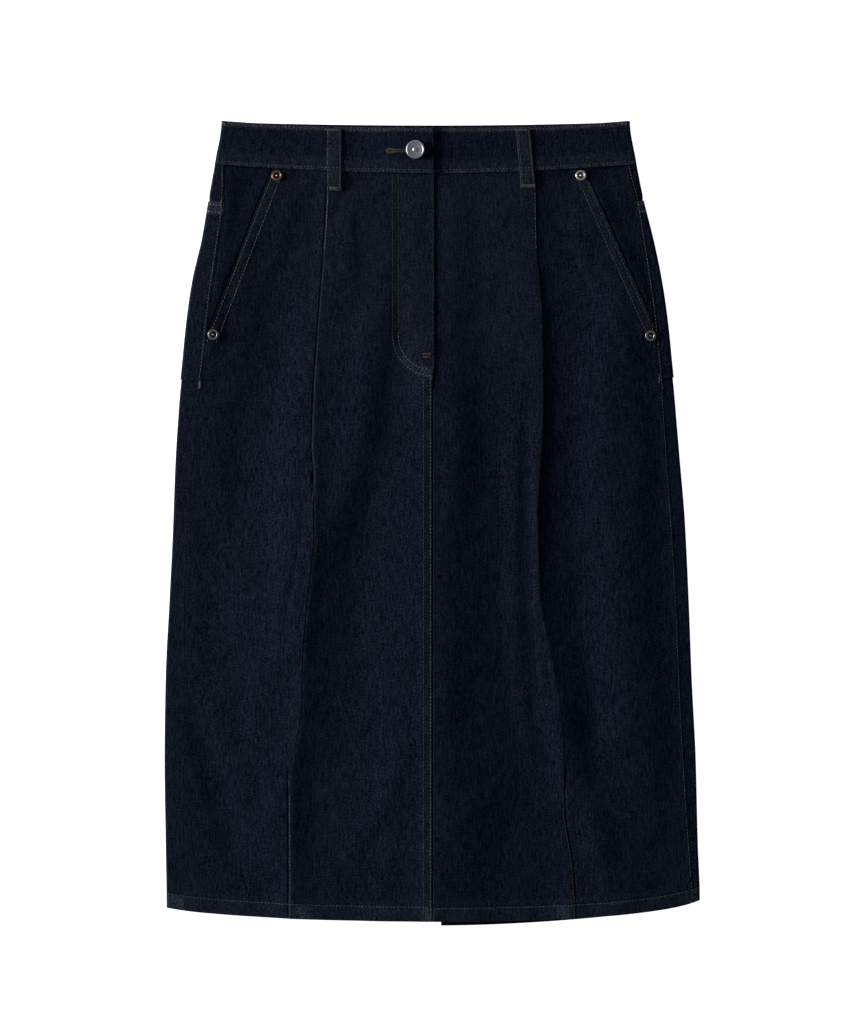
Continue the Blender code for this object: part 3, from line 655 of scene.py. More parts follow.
def front_section(row):
    """The front's middle line: in from its outer edge, under the pleat and over it to the centre."""
    pleat = row.pleat
    stack = (row.cloth + AIR) * (1 + 2 * pleat.opened)
    rise = max(pleat.rise, stack + row.cloth + AIR)
    small, large = stack / 2, (rise - stack) / 2
    overlap = max(pleat.overlap, small + large + 1)
    base = row.front_level(pleat.edge)
    inner, outer = pleat.edge - overlap, pleat.edge
    flat = np.linspace(inner + small, outer - large, 6)[1:-1]
    folded = np.vstack([
        turn(inner, base, base + stack, -1, 6),
        np.c_[flat, np.full(4, base + stack)],
        turn(outer, base + stack, base + rise, 1, 10),
    ])
    share = np.linspace(0, 1, len(folded))
    rise = mix(rise, pleat.rise, pleat.opened)
    out = outer + RIDGE_EDGE * (1 - share)
    opened = np.c_[out, base + mix(beside_pleat(pleat, out, rise), rise, share**2)]
    fold = mix(folded, opened, pleat.opened)

    start = min(row.slant, row.seam - SEAM_GAP / 2)
    steps = np.array([0, 0.7, 1.6, 2.6, 3.5, 4.6, 6.2, 8.2, 10.2, 11.6, 12.6, 13.6, 15, 18])
    beside = np.array([22, 17, 13, 10, 7.5, 5.5, 4, 2.8, 1.8, 1.0, 0.4, -0.4])
    closed = np.concatenate([
        np.linspace(start - steps[-1], outer + beside[0], 18)[1:-1], outer + beside,
        np.linspace(outer - 0.4, inner + small, 6)[1:-1],
    ])
    spread = np.linspace(start - steps[-1], outer + RIDGE_EDGE, len(closed) + 2)[1:-1]
    outside = np.concatenate([start - steps, mix(closed, spread, pleat.opened)])
    level = row.front_level(outside) + row.over_facing(outside) + beside_pleat(pleat, outside, rise)
    outside = np.c_[outside, level + beside_seam(row, outside)]

    level_end = outer - mix(overlap + PLEAT_LEVEL, 2, pleat.opened)
    first = mix(outer - large, outer, pleat.opened) - 0.8
    edge = -FLY_UNDERLAP if row.height(0) > FLY_END else -CENTRE_UNDERLAP
    if row.side == RIGHT:
        edge = mix(SEAM_EDGE, -CENTRE_LAP, ramp(row.height(0), FLY_END - 4, FLY_END + 10))
    inside = np.concatenate([
        [first, first - 0.9, first - 2.0],
        np.linspace(first - 3.4, FLY_WIDTH + 13, 28),
        np.linspace(FLY_WIDTH + 13, 28, 19)[1:],
        np.linspace(28, 8.4, 10)[1:],
        np.linspace(8.4, edge, 12)[1:],
    ])
    inside = np.c_[inside, row.front_level(inside) + row.relief(inside, rise, level_end)]
    visible = np.concatenate([
        np.ones(len(outside)), np.linspace(0, 0, len(fold) - 4), [0.3, 0.7, 1, 1], np.ones(len(inside)),
    ])
    return np.vstack([outside, fold, inside]), visible


def new_piece(name, mesh, material):
    """A finished piece of the skirt, which rides on its only body."""
    piece = bpy.data.objects.new(name, mesh)
    bpy.context.scene.collection.objects.link(piece)
    mesh.materials.append(material)
    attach(piece, "root")
    return piece


def wall_mesh(name, outer, inner, outer_wear_and_light, sharp=50):
    """A closed wall between two grids of points, with how pale each point is made, by wear and by painted
    light, kept on the mesh.
    """
    rows, columns = outer.shape[:2]
    points = np.concatenate([outer, inner[:, ::-1]], axis=1).reshape(-1, 3) * MM
    ring = 2 * columns
    k = np.arange(ring)
    after = (k + 1) % ring
    faces = []
    for row in range(rows - 1):
        here, there = row * ring, (row + 1) * ring
        faces.append(np.c_[here + k, here + after, there + after, there + k])
    for row in (0, rows - 1):
        here, k = row * ring, np.arange(columns - 1)
        faces.append(here + np.c_[k, k + 1, ring - 2 - k, ring - 1 - k])
    mesh = bpy.data.meshes.new(name)
    mesh.from_pydata(points.tolist(), [], np.concatenate(faces).tolist())
    bm = bmesh.new()
    bm.from_mesh(mesh)
    bmesh.ops.recalc_face_normals(bm, faces=bm.faces)
    bm.to_mesh(mesh)
    bm.free()
    mesh.shade_smooth()
    mesh.set_sharp_from_angle(angle=math.radians(sharp))
    wear_and_light = mesh.attributes.new("wear_and_light", "FLOAT", "POINT")
    worn = np.concatenate([outer_wear_and_light, np.zeros_like(outer_wear_and_light)], axis=1)
    wear_and_light.data.foreach_set("value", worn.ravel().astype(np.float32))
    return mesh


def cloth_piece(name, rows, section, trim, stand_off, material):
    """A piece that is a wall of cloth through one section for each row."""
    outer, inner, worn = [], [], []
    for row in rows:
        line, visible = section(row)
        lift, wear_and_light = trim(row, line[:, 0], visible)
        grids = []
        for amount, extra in ((row.cloth / 2, lift), (-row.cloth / 2, 0)):
            moved = offset_line(line, amount)
            distance = moved[:, 0]
            z = moved[:, 1] + stand_off(row, distance, visible) + extra
            grids.append(np.c_[FRONT_X + row.side * distance, row.height(distance), z])
        outer.append(grids[0])
        inner.append(grids[1])
        worn.append(wear_and_light)
    mesh = wall_mesh(name, np.array(outer), np.array(inner), np.array(worn))
    return new_piece(name, mesh, material)


# The cloth: dark indigo warp over a grey-blue weft, in a right-hand twill
YARN = 0.33
PICK = 0.38


def new_group(name, inputs, outputs):
    """A node group with these sockets, and what its inputs give."""
    group = bpy.data.node_groups.new(name, "ShaderNodeTree")
    for way, sockets in (("INPUT", inputs), ("OUTPUT", outputs)):
        for socket, kind in sockets.items():
            group.interface.new_socket(socket, in_out=way, socket_type="NodeSocket" + kind)
    return group, group.nodes.new("NodeGroupInput").outputs


def make_twill():
    """Weave and slubs of indigo denim, and its places made pale by wear and by painted light, as a colour
    and a height.
    """
    group, given = new_group(
        "indigo twill",
        {
            "Vector": "Vector", "Warp": "Color", "Weft": "Color", "Worn": "Color",
            "Wear_and_light": "Float", "Grain": "Float", "Slub": "Float", "Blotch": "Float",
        },
        {"Color": "Color", "Height": "Float"},
    )

    def maths(operation, a, b=0.0, c=0.0, clamp=False):
        made = node(group, "Math", {0: a, 1: b, 2: c}, operation=operation, use_clamp=clamp)
        return made.outputs[0]

    def vector(operation, inputs):
        return node(group, "VectorMath", inputs, operation=operation).outputs[0]

    def noise(scale, detail, seed):
        stretched = vector("MULTIPLY", {0: given["Vector"], 1: scale})
        moved = vector("ADD", {0: stretched, 1: (seed, seed, seed)})
        found = node(group, "TexNoise", {"Vector": moved, "Scale": 1.0, "Detail": detail})
        return maths("SUBTRACT", found.outputs["Fac"], 0.5)

    # Which yarn shows, and how round it is there
    place = node(group, "SeparateXYZ", {0: given["Vector"]})
    warp_at = maths("DIVIDE", place.outputs["X"], YARN * MM)
    weft_at = maths("DIVIDE", place.outputs["Y"], PICK * MM)
    cell = maths("ADD", maths("FLOOR", warp_at), maths("FLOOR", weft_at))
    shows = maths("LESS_THAN", maths("FLOORED_MODULO", cell, 4.0), 0.5)
    warp_round = maths("ABSOLUTE", maths("SINE", maths("MULTIPLY", warp_at, math.pi)))
    weft_round = maths("ABSOLUTE", maths("SINE", maths("MULTIPLY", weft_at, math.pi)))

    # How unevenly the yarns are spun and dyed
    grain = maths("MULTIPLY", noise((650, 680, 650), 0.3, 3.1), given["Grain"])
    streak = maths("MULTIPLY", noise((820, 105, 820), 0.0, 7.7), given["Slub"])
    cross = maths("MULTIPLY", noise((170, 1000, 170), 0.0, 5.3), maths("MULTIPLY", given["Slub"], 0.25))
    blotch = maths("MULTIPLY", noise((40, 22, 40), 2.0, 1.9), given["Blotch"])
    fleck = maths("ADD", maths("ADD", grain, streak), maths("ADD", cross, blotch))
    fleck = maths("POWER", maths("MAXIMUM", maths("ADD", fleck, 1.0), 0.08), 1.3)
    fleck = maths("MINIMUM", fleck, 5.0)

    tone = node(group, "Mix", {
        0: shows,
        2: maths("MULTIPLY_ADD", warp_round, 0.4, 0.5),
        3: maths("MULTIPLY_ADD", weft_round, 0.9, 1.2),
    })
    weft_tone = maths("MULTIPLY", fleck, tone.outputs[0])
    warp_tone = maths("MULTIPLY_ADD", warp_round, 0.4, 0.75)
    weft = vector("SCALE", {0: given["Weft"], "Scale": weft_tone})
    warp = vector("SCALE", {0: given["Warp"], "Scale": warp_tone})
    cloth = vector("ADD", {0: warp, 1: weft})

    # Where it is made pale, by wear and by painted light, in patches a few yarns wide
    patchy = maths("ADD", maths("MULTIPLY", noise((620, 620, 620), 2.0, 11.0), 8.0), 1.0)
    worn_and_lit_share = maths("MULTIPLY", given["Wear_and_light"], maths("MAXIMUM", patchy, 0.1), clamp=True)
    worn_tone = maths("MULTIPLY_ADD", warp_round, 0.5, 0.7)
    worn = vector("SCALE", {0: given["Worn"], "Scale": worn_tone})
    colour = node(group, "Mix", {0: worn_and_lit_share, 4: cloth, 5: worn}, data_type="VECTOR")

    weave = node(group, "Mix", {0: shows, 2: warp_round, 3: maths("MULTIPLY", weft_round, 0.5)})
    height = maths("ADD", weave.outputs[0], maths("MULTIPLY", fleck, 0.6))
    node(group, "NodeGroupOutput", {"Color": colour.outputs[1], "Height": height})
    return group


twill = make_twill()


def new_material(name, group, given, relief, plain):
    """A material that takes its colour and relief from a node group."""
    material = bpy.data.materials.new(name)
    material.use_nodes = True
    tree = material.node_tree
    shader = tree.nodes["Principled BSDF"]
    given = {"Vector": node(tree, "TexCoord").outputs["Object"], **given}
    finish = node(tree, "Group", node_tree=group)
    if "Wear_and_light" in finish.inputs:
        given["Wear_and_light"] = node(tree, "Attribute", attribute_name="wear_and_light").outputs["Fac"]
    for socket, value in given.items():
        if isinstance(value, bpy.types.NodeSocket):
            tree.links.new(value, finish.inputs[socket])
        else:
            finish.inputs[socket].default_value = value
    distance, strength = relief
    height = finish.outputs["Height"]
    bump = node(tree, "Bump", {"Height": height, "Distance": distance, "Strength": strength})
    tree.links.new(finish.outputs["Color"], shader.inputs["Base Color"])
    tree.links.new(bump.outputs["Normal"], shader.inputs["Normal"])
    if "Roughness" in finish.outputs:
        tree.links.new(finish.outputs["Roughness"], shader.inputs["Roughness"])
    for socket, value in plain.items():
        shader.inputs[socket].default_value = value
    return material


# The pale blue of worn cloth, also used for the painted light on the hips, the fly and the band's bulge.
WORN_AND_LIT_BLUE = (0.050, 0.054, 0.062)


def denim(name, warp, weft):
    """A denim with its own warp and weft colours."""
    given = {
        "Warp": (*warp, 1), "Weft": (*weft, 1), "Worn": (*WORN_AND_LIT_BLUE, 1),
        "Grain": 2.9, "Slub": 2.0, "Blotch": 0.5,
    }
    plain = {"Roughness": 0.92, "Specular IOR Level": 0.04}
    return new_material(name, twill, given, (0.00012, 0.6), plain)


body_denim = denim("body_denim", (0.0001, 0.0016, 0.0071), (0.0047, 0.0063, 0.0083))

HEM_SHARE = 1 - 20 / NOMINAL_LENGTH
FRONT_ROWS = np.concatenate([np.linspace(0, HEM_SHARE, 298), np.linspace(HEM_SHARE, 1, 17)[1:]])


def front_stand_off(row, distance, visible):
    return row.stand_off(distance)


for side in (RIGHT, LEFT):
    name = "front_" + NAMES[side]
    rows = [Row(side, share, FRONT_HEMS[side]) for share in FRONT_ROWS]
    front = cloth_piece(name + "_denim", rows, front_section, front_trim, front_stand_off, body_denim)
    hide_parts(name)


# ---- The two backs ----
# Each back panel reaches round the side fold to the side seam on the front. A felled seam joins
# the two at the centre, down to a vent whose right edge has fallen a little away.

BACK_WAIST_X = -5.0
BACK_HEM_X = 8.0
BACK_LENGTH = 700.0
VENT_SHARE = 0.75
VENT_WIDTH = 8.0
BACK_HEMS = {RIGHT: Edge(-354.3, 10.6, 2.3, 1.8), LEFT: Edge(-347.3, 19.3, 1.9, 4.6)}
BACK_CORNER_WORN = {RIGHT: 0.30, LEFT: 0.24}
BACK_ROWS = np.concatenate([np.linspace(0, HEM_SHARE, 214), np.linspace(HEM_SHARE, 1, 15)[1:]])


def around_side(row, offset, start, stops):
    """A line on the back, round the side fold to the front, moved out from the panel by offset."""
    centre = row.bend - FOLD_RADIUS
    low = row.back_level(centre) - offset
    top = row.front_level(centre) + offset
    front = np.linspace(start, centre, 15)[:-1]
    angles = np.linspace(math.pi / 2, -math.pi / 2, 13)
    line = np.vstack([
        np.c_[front, row.front_level(front) + offset],
        np.c_[
            centre + (FOLD_RADIUS + offset) * np.cos(angles),
            (top + low) / 2 + (top - low) / 2 * np.sin(angles),
        ],
        np.c_[stops, row.back_level(stops) - offset],
    ])
    upper = np.concatenate([np.ones(len(front)), np.linspace(1, 0, 13), np.zeros(len(stops))])
    return line[::-1], upper[::-1]


def centre_back(row):
    """Distance of the centre-back edge, which falls away from the seam below the vent."""
    down = (WAIST_SEAM.side - row.height(0)) / BACK_LENGTH
    x = mix(BACK_WAIST_X, BACK_HEM_X, down)
    opening = VENT_WIDTH * ramp(down, VENT_SHARE, 1) if row.side == RIGHT else 0
    return row.side * (x - FRONT_X) + SEAM_GAP / 2 + opening


def back_section(row):
    edge = centre_back(row)
    stops = np.concatenate([
        np.linspace(row.bend - FOLD_RADIUS, edge + 10, 56)[1:], np.linspace(edge + 10, edge, 9)[1:],
    ])
    return around_side(row, 0, row.seam + SEAM_GAP / 2, stops)


def back_trim(row, distance, upper):
    """Lift and wear of the back's stitched edges; on its underside a lift goes down."""
    x = FRONT_X + row.side * distance
    hem, lift, wear_and_light = hem_trim(row, x)
    side_seam = upper * dip(distance - row.seam, 3.0)
    lift = upper * lift + side_seam * 0.10
    wear_and_light = wear_and_light + BACK_CORNER_WORN[row.side] * upper * hem * hem_patch(row, x)
    if row.side == RIGHT:
        wear_and_light += 0.02 * side_seam + 0.04 * dip(distance - row.fold, 2.6)
    else:
        lift -= 0.35 * upper * ramp(distance, row.seam, row.fold)
    return lift, np.clip(wear_and_light, 0, 1)


def back_stand_off(row, distance, upper):
    return row.stand_off(distance) * ramp(upper, 0.5, 1)


for side in (RIGHT, LEFT):
    name = "back_" + NAMES[side]
    rows = [Row(side, share, BACK_HEMS[side]) for share in BACK_ROWS]
    back = cloth_piece(name + "_denim", rows, back_section, back_trim, back_stand_off, body_denim)
    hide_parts(name)


# ---- The back pockets ----
# A patch of denim on each back, its outer edge caught in the side seam. The hemmed top edge just
# shows past the side seams.

POCKET_TOP, POCKET_BOTTOM = 0.0507, 0.2905
POCKET_POINT = 16.0
POCKET_HEM = 12.0
POCKET_ROWS = (3.0, 9.5)


def pocket_point(row):
    """How far the pocket's inner edge has come in towards the point at its foot."""
    return POCKET_POINT * ramp(row.share, POCKET_BOTTOM - 0.05, POCKET_BOTTOM)


def back_pocket_section(row):
    stops = np.linspace(row.bend - FOLD_RADIUS, POCKET_INNER + pocket_point(row), 48)[1:]
    return around_side(row, LAYER, row.seam + SEAM_GAP / 2, stops)


def back_pocket_trim(row, distance, upper):
    """Lift and wear of the pocket's hem and of its edge in the side seam."""
    y = row.height(distance)
    down = (row.share - POCKET_TOP) * NOMINAL_LENGTH
    lift = 0.2 * band(down, -3, POCKET_HEM)
    for at in POCKET_ROWS:
        lift -= 0.2 * dip(down - at, 1.4)
    lift = upper * lift
    lift += upper * dip(distance - row.seam, 4) * (0.1 + 0.08 * pucker(y, distance, 3.0))
    wear_and_light = 0.30 * dip(down, 3.0) + 0.26 * band(down, -2, 11) + 0.20 * dip(down - POCKET_ROWS[1], 3.0)
    wear_and_light *= 1 if row.side == RIGHT else 0.7
    wear_and_light = wear_and_light + 0.05 * upper * dip(distance - row.seam, 3) * (0.6 + 0.4 * pucker(y, distance, 3.0))
    return lift, np.clip(wear_and_light, 0, 1)


hem_end = POCKET_TOP + 0.02
pocket_shares = np.concatenate([
    np.linspace(POCKET_TOP, hem_end, 10)[:-1], np.linspace(hem_end, POCKET_BOTTOM, 64),
])
for side in (RIGHT, LEFT):
    name = "back_pocket_" + NAMES[side]
    rows = [Row(side, share, BACK_HEMS[side]) for share in pocket_shares]
    pocket = cloth_piece(
        name + "_denim", rows, back_pocket_section, back_pocket_trim, back_stand_off, body_denim,
    )
    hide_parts(name)


# ---- The front pockets' facings ----
# The denim that shows inside each slanted pocket, sewn into the side seam and the waist seam.

FACING_END = 6.0
FACING_BUMP = 0.9
FACING_BUMP_GAP = {RIGHT: (0.1, 1.6), LEFT: (0.8, 2.8)}
NO_TIE = 1e-3


def facing_section(row):
    """The facing's middle line, in from the side seam; it swells beside the pocket's edge."""
    edge = row.seam - SEAM_GAP
    stops = np.concatenate([
        np.linspace(edge, row.slant + 6, 22),
        row.slant + np.array([5, 4, 3, 2.2, 1.5, 0.9, 0.4, 0]),
        np.linspace(row.slant - 1, row.slant - FACING_REACH, 14),
    ])
    stops = np.sort(np.minimum(stops, edge))[::-1] - np.arange(len(stops)) * NO_TIE
    beyond = stops - row.slant
    bump = FACING_BUMP * ramp(beyond, *FACING_BUMP_GAP[row.side]) * ramp(beyond, 16, 3)
    return np.c_[stops, row.front_level(stops) + beside_seam(row, stops) + bump], np.ones(len(stops))


def facing_trim(row, distance, visible):
    y = row.height(distance)
    seam = dip(row.seam - distance, 4)
    lift = seam * (0.1 + 0.1 * pucker(y, distance, 3.0)) - 0.2 * dip(row.seam - distance - 1.8, 1.3)
    return lift, np.clip(seam * (0.03 + 0.03 * pucker(y, distance, 3.3)), 0, 1)


# A darker copy of the body denim: painted shade, for the shade inside the pockets and under the fly.
shaded_facing_denim = denim("shaded_facing_denim", (0.0001, 0.0013, 0.0062), (0.0038, 0.0048, 0.0066))
for side in (RIGHT, LEFT):
    name = "pocket_facing_" + NAMES[side]
    low = SLANTS[side].low_height + FACING_END
    last = (WAIST_SEAM.side - low) / (WAIST_SEAM.side - FRONT_HEMS[side].side)
    rows = [Row(side, share, FRONT_HEMS[side]) for share in np.linspace(0, last, 76)]
    facing = cloth_piece(name + "_denim", rows, facing_section, facing_trim, front_stand_off, shaded_facing_denim)
    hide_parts(name)


# ---- The fly facing ----
# A J-shaped strip of denim stitched under the closing edge of the right front.


def fly_facing_section(row):
    """The fly facing's middle line, cut to the J below."""
    below = min(FLY_WIDTH - 1, max(0.0, FLY_END + FLY_WIDTH - row.height(0)))
    width = math.sqrt(FLY_WIDTH**2 - below**2)
    stops = np.linspace(width, 1.0, 14)
    top, start = row.pleat.rise, row.pleat.edge - row.pleat.overlap - PLEAT_LEVEL
    return np.c_[stops, row.front_level(stops) + row.relief(stops, top, start) - LAYER], np.ones(14)


def plain_trim(row, distance, visible):
    return 0 * distance, 0 * distance


hem = FRONT_HEMS[RIGHT]
waist_middle = WAIST_SEAM.side - WAIST_SEAM.dip
centre_length = waist_middle - (hem.side - hem.dip - hem.corner)
fly_shares = np.linspace(0, (waist_middle - FLY_END - 1.5) / centre_length, 64)
rows = [Row(RIGHT, share, hem) for share in fly_shares]
# The fly facing takes the facings' darker denim, which is painted shade.
fly_facing = cloth_piece(
    "fly_facing_denim", rows, fly_facing_section, plain_trim, front_stand_off, shaded_facing_denim,
)
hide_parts("fly_facing")


# ---- The waistband ----
# A straight band of doubled denim that runs from the button's underlap round the back to the
# buttonhole end. It is stitched along both edges, and its lower edge stands out over the seam.

BAND = 2.4
BAND_UNDERLAP = 26.0
BAND_STEP = 45.0
FRONT_TOP = Edge(370.0, 6.3, 2.4, 0)
BACK_TOP = Edge(370.0, 3.1, 2.0, 0.9)
BAND_HEIGHT = 39.0
BAND_ROWS = 34
BAND_OVERHANG = 0.6
BAND_STITCH_LOW, BAND_STITCH_TOP = 2.2, 2.6


def band_line(side_height):
    """The band's middle line at one height, from its underlap round the back to its closing end.

    Each stop is its X, its height, its share of the half width, and whether it lies at the back."""
    stops = []
    for side in (LEFT, RIGHT):
        fold = read(SIDES[side], "fold", side_height)
        centre = fold - BAND / 2 - FOLD_RADIUS
        if side == RIGHT:
            reach = np.concatenate([np.linspace(0, 46, 28), np.linspace(46, centre, 68)[1:]])
        else:
            reach = np.linspace(-BAND_UNDERLAP, centre, 90)
        to_fold = centre + FOLD_RADIUS - reach
        stand = (2 * FOLD_RADIUS - BAND - AIR) * ramp(to_fold, FOLD_REACH, FOLD_EASE)
        if side == RIGHT:
            over_end = BAND_UNDERLAP + 3
            stand = stand + (BAND + AIR) * ramp(reach, over_end + BAND_STEP, over_end)
        angles = np.linspace(math.pi / 2, -math.pi / 2, 13)[1:]
        back = np.linspace(centre, 0 if side == LEFT else 2, 60)[1:]
        half = np.concatenate([
            np.c_[reach, BAND * 1.5 + AIR + stand, 0 * reach],
            np.c_[
                centre + FOLD_RADIUS * np.cos(angles),
                BAND / 2 + FOLD_RADIUS * (1 + np.sin(angles)),
                angles < 0,
            ],
            np.c_[back, np.full(len(back), BAND / 2), np.ones(len(back))],
        ])
        half = np.c_[FRONT_X + side * half[:, 0], half[:, 1], half[:, 0] / fold, half[:, 2]]
        stops.append(half if side == LEFT else half[::-1])
    return np.vstack(stops)


def make_waistband():
    """The band's wall: it swells between its rows of stitches, is rubbed pale at both edges, and is paler
    along its lower bulge, partly rubbed and partly a painted highlight.
    """
    outer, inner, worn = [], [], []
    for share in np.linspace(-BAND_OVERHANG / BAND_HEIGHT, 1, BAND_ROWS):
        x, _, across, at_back = stops = band_line(mix(WAIST_SEAM.side, FRONT_TOP.side, share)).T
        at_back = at_back > 0.5
        tops = np.where(at_back, edge_height(BACK_TOP, across), edge_height(FRONT_TOP, across))
        seam = edge_height(WAIST_SEAM, across)
        y = mix(seam, tops, share)
        up, down = y - seam, tops - y
        bulge = band(up, -3, 11.0, 3.0)
        lift = bulge * (0.45 + 0.09 * pucker(x, up * 0.5, 0.7))
        lift += 0.05 * band(up, 8, 36, 4) * pucker(x * 0.45, up * 0.6, 1.9)
        lift += dip(down, 3.6) * (0.15 + 0.07 * pucker(x, 0, 2.2))
        for gap in (up - BAND_STITCH_LOW, down - BAND_STITCH_TOP):
            lift -= 0.20 * dip(gap, 1.6)
        # Paler along the lower bulge: partly rubbed cloth, partly a painted highlight where the bulge
        # would catch the light.
        wear_and_light = bulge * (0.085 + 0.07 * pucker(x, up * 0.5, 0.7))
        wear_and_light += 0.36 * dip(up - 0.4, 2.0) * (0.75 + 0.25 * pucker(x, 0, 0.7))
        wear_and_light += 0.70 * dip(down - 1.7, 4.0) * (0.65 + 0.35 * pucker(x * 1.5, 0, 2.2))
        for amount, extra, grid in ((-BAND / 2, lift * ~at_back, outer), (BAND / 2, 0, inner)):
            moved = offset_line(stops[:2].T, amount)
            grid.append(np.c_[moved[:, 0], y, moved[:, 1] + extra])
        worn.append(np.clip(wear_and_light, 0, 1))
    return wall_mesh("waistband_denim", np.array(outer), np.array(inner), np.array(worn))


# A shade darker than the body denim: painted shade across the middle of the band.
shaded_band_denim = denim("shaded_band_denim", (0.0001, 0.0015, 0.0070), (0.0044, 0.0058, 0.0080))
waistband = new_piece("waistband_denim", make_waistband(), shaded_band_denim)
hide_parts("waistband")


# ---- The belt loops ----
# A strip of denim with both edges folded under, tacked above at the top of the waistband and
# below its seam, so that it stands off a little between.

LOOP_WIDTH = 13.5
LOOP_CLOTH = 1.0
LOOP_BOW = 0.15
Loop = namedtuple("Loop", "side top low")
LOOPS = [
    Loop(RIGHT, (91.2, 362.5), (91.2, 305.2)),
    Loop(LEFT, (82.5, 362.5), (87.3, 308.0)),
]
loop_denim = denim("loop_denim", (0.0002, 0.0018, 0.0074), (0.0064, 0.0078, 0.0102))
for loop in LOOPS:
    name = "belt_loop_" + NAMES[loop.side]
    hem = FRONT_HEMS[loop.side]
    length = WAIST_SEAM.side - hem.side
    row = Row(loop.side, (WAIST_SEAM.side - loop.low[1]) / length, hem)
    for _ in range(3):
        row = Row(loop.side, row.share + (row.height(loop.low[0]) - loop.low[1]) / length, hem)
    z_top = 2 * BAND + 2 * AIR + LOOP_CLOTH / 2
    stand = row.stand_off(np.array([loop.low[0]]))[0]
    z_low = row.front_level(loop.low[0]) + row.pleat.rise + CLOTH / 2 + AIR + LOOP_CLOTH / 2 + stand
    across = np.linspace(-1, 1, 19)
    outer, inner, worn = [], [], []
    for t in np.linspace(0, 1, 44):
        bow = LOOP_BOW * math.sin(math.pi * t) ** 2
        x = FRONT_X + loop.side * mix(loop.top[0], loop.low[0], t)
        y = mix(loop.top[1], loop.low[1], t)
        z = mix(z_top, z_low, ramp(t, 0.55, 0.85)) + bow
        edge = LOOP_WIDTH / 2 * (1 - 0.012 * pucker(y, 0, 1.0))
        top = LOOP_CLOTH / 2 * (1 - np.abs(across) ** 7) ** 0.6
        top = top + 0.22 * dip(abs(across) - 0.9, 0.14) - 0.30 * dip(abs(across) - 0.72, 0.14)
        top = top + 0.10 * pucker(y, across * 6, 2.0)
        outer.append(np.c_[x + edge * across, np.full(19, y), z + top])
        inner.append(np.c_[x + edge * across, np.full(19, y), np.full(19, z - LOOP_CLOTH / 2)])
        wear_and_light = 0.10 + 0.30 * ramp(abs(across), 0.74, 0.94) * (0.7 + 0.3 * pucker(y, 0, 1.0))
        wear_and_light += 0.10 * dip(abs(across) - 0.72, 0.14) + 0.5 * dip(t, 0.05) + 0.5 * dip(1 - t, 0.08)
        worn.append(np.clip(wear_and_light, 0, 1))
    outer, inner = np.array(outer)[:, ::-1], np.array(inner)[:, ::-1]
    mesh = wall_mesh(name + "_denim", outer, inner, np.array(worn))
    belt_loop = new_piece(name + "_denim", mesh, loop_denim)
    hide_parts(name)


# ---- Topstitching ----
# Twisted cotton and polyester thread, tan when new. It is still tan at the fly's bars, the back
# pockets and the buttonhole, and has turned white, pale, grey or brown elsewhere. Each stitch sinks
# into the cloth at both ends.

cloth_points, cloth_faces = [], []
for piece in bpy.context.scene.collection.objects:
    if piece.name.endswith("_denim") and piece.type == "MESH":
        first = len(cloth_points)
        cloth_points += [v.co.copy() for v in piece.data.vertices]
        cloth_faces += [tuple(first + k for k in face.vertices) for face in piece.data.polygons]
cloth_tree = BVHTree.FromPolygons(cloth_points, cloth_faces)

STITCH_PITCH = 3.3
STITCH_LENGTH = 2.6
THREAD = 0.62
STITCH_STEP = 1.5
BAR_PITCH = 0.5


def surface(x, y, above):
    """The skirt's face at a point, seen from above or from below, and the way it faces."""
    start = Vector((x, y, 60 if above else -20)) * MM
    outwards = 1 if above else -1
    hit, facing, _, _ = cloth_tree.ray_cast(start, Vector((0, 0, -outwards)))
    if hit is None:
        return None, None
    return np.array(hit) / MM, np.array(facing) * (1 if facing.z * outwards > 0 else -1)


def walk(path, pitch):
    """Evenly spaced points along a line, with the way on from each."""
    path = np.array(path, float)
    lengths = np.concatenate([[0], np.cumsum(np.linalg.norm(np.diff(path, axis=0), axis=1))])
    count = max(2, round(lengths[-1] / pitch))
    at = (np.arange(count) + 0.5) * lengths[-1] / count
    before, here, after = (
        np.c_[np.interp(spot, lengths, path[:, 0]), np.interp(spot, lengths, path[:, 1])]
        for spot in (at - 0.5, at, at + 0.5)
    )
    ahead = after - before
    return here, ahead / np.linalg.norm(ahead, axis=1, keepdims=True)


def stitch(points, faces, a, b, up, thread, sink=0.20, bow=0.34):
    """One stitch from a to b: a short rounded length of thread that bows away from the cloth."""
    first = len(points)
    way = (b - a) / np.linalg.norm(b - a)
    side_way = np.cross(up, way)
    side_way /= np.linalg.norm(side_way)
    rings = ((0.0, -sink, 0.55), (0.2, bow * 0.65, 0.95), (0.8, bow * 0.65, 0.95), (1.0, -sink, 0.55))
    for along, lift, size in rings:
        middle = a + (b - a) * along + up * lift
        for angle in np.arange(6) * math.pi / 3:
            out = side_way * math.cos(angle) + up * math.sin(angle) * 0.72
            points.append(middle + out * thread / 2 * size)
    for ring in range(3):
        for corner in range(6):
            one, after = first + ring * 6 + corner, first + ring * 6 + (corner + 1) % 6
            faces.append((one, after, after + 6, one + 6))
    faces.append(tuple(first + k for k in range(5, -1, -1)))
    faces.append(tuple(first + 18 + k for k in range(6)))


def stitches_piece(name, points, faces, material):
    """The stitches made so far, joined as one piece."""
    mesh = bpy.data.meshes.new(name)
    mesh.from_pydata([tuple(p * MM) for p in points], [], faces)
    mesh.shade_smooth()
    return new_piece(name, mesh, material)


def sew(name, lines, material, seed, above=True, length=STITCH_LENGTH, thread=THREAD):
    """All the stitches of some lines of stitching, on the face seen from above or from below."""
    points, faces = [], []
    hand = np.random.default_rng(seed)
    for path in lines:
        for place, way in zip(*walk(path, STITCH_PITCH)):
            across = np.array([-way[1], way[0]])
            half = length / 2 * hand.uniform(0.9, 1.08)
            place = place + across * hand.normal(0, 0.06)
            lean = way + across * hand.normal(0, 0.05)
            (a, up), (b, _) = (surface(*(place + lean * reach), above) for reach in (-half, half))
            if a is not None and b is not None and abs(a[2] - b[2]) <= STITCH_STEP:
                stitch(points, faces, a, b, up, thread)
    return stitches_piece(name, points, faces, material)


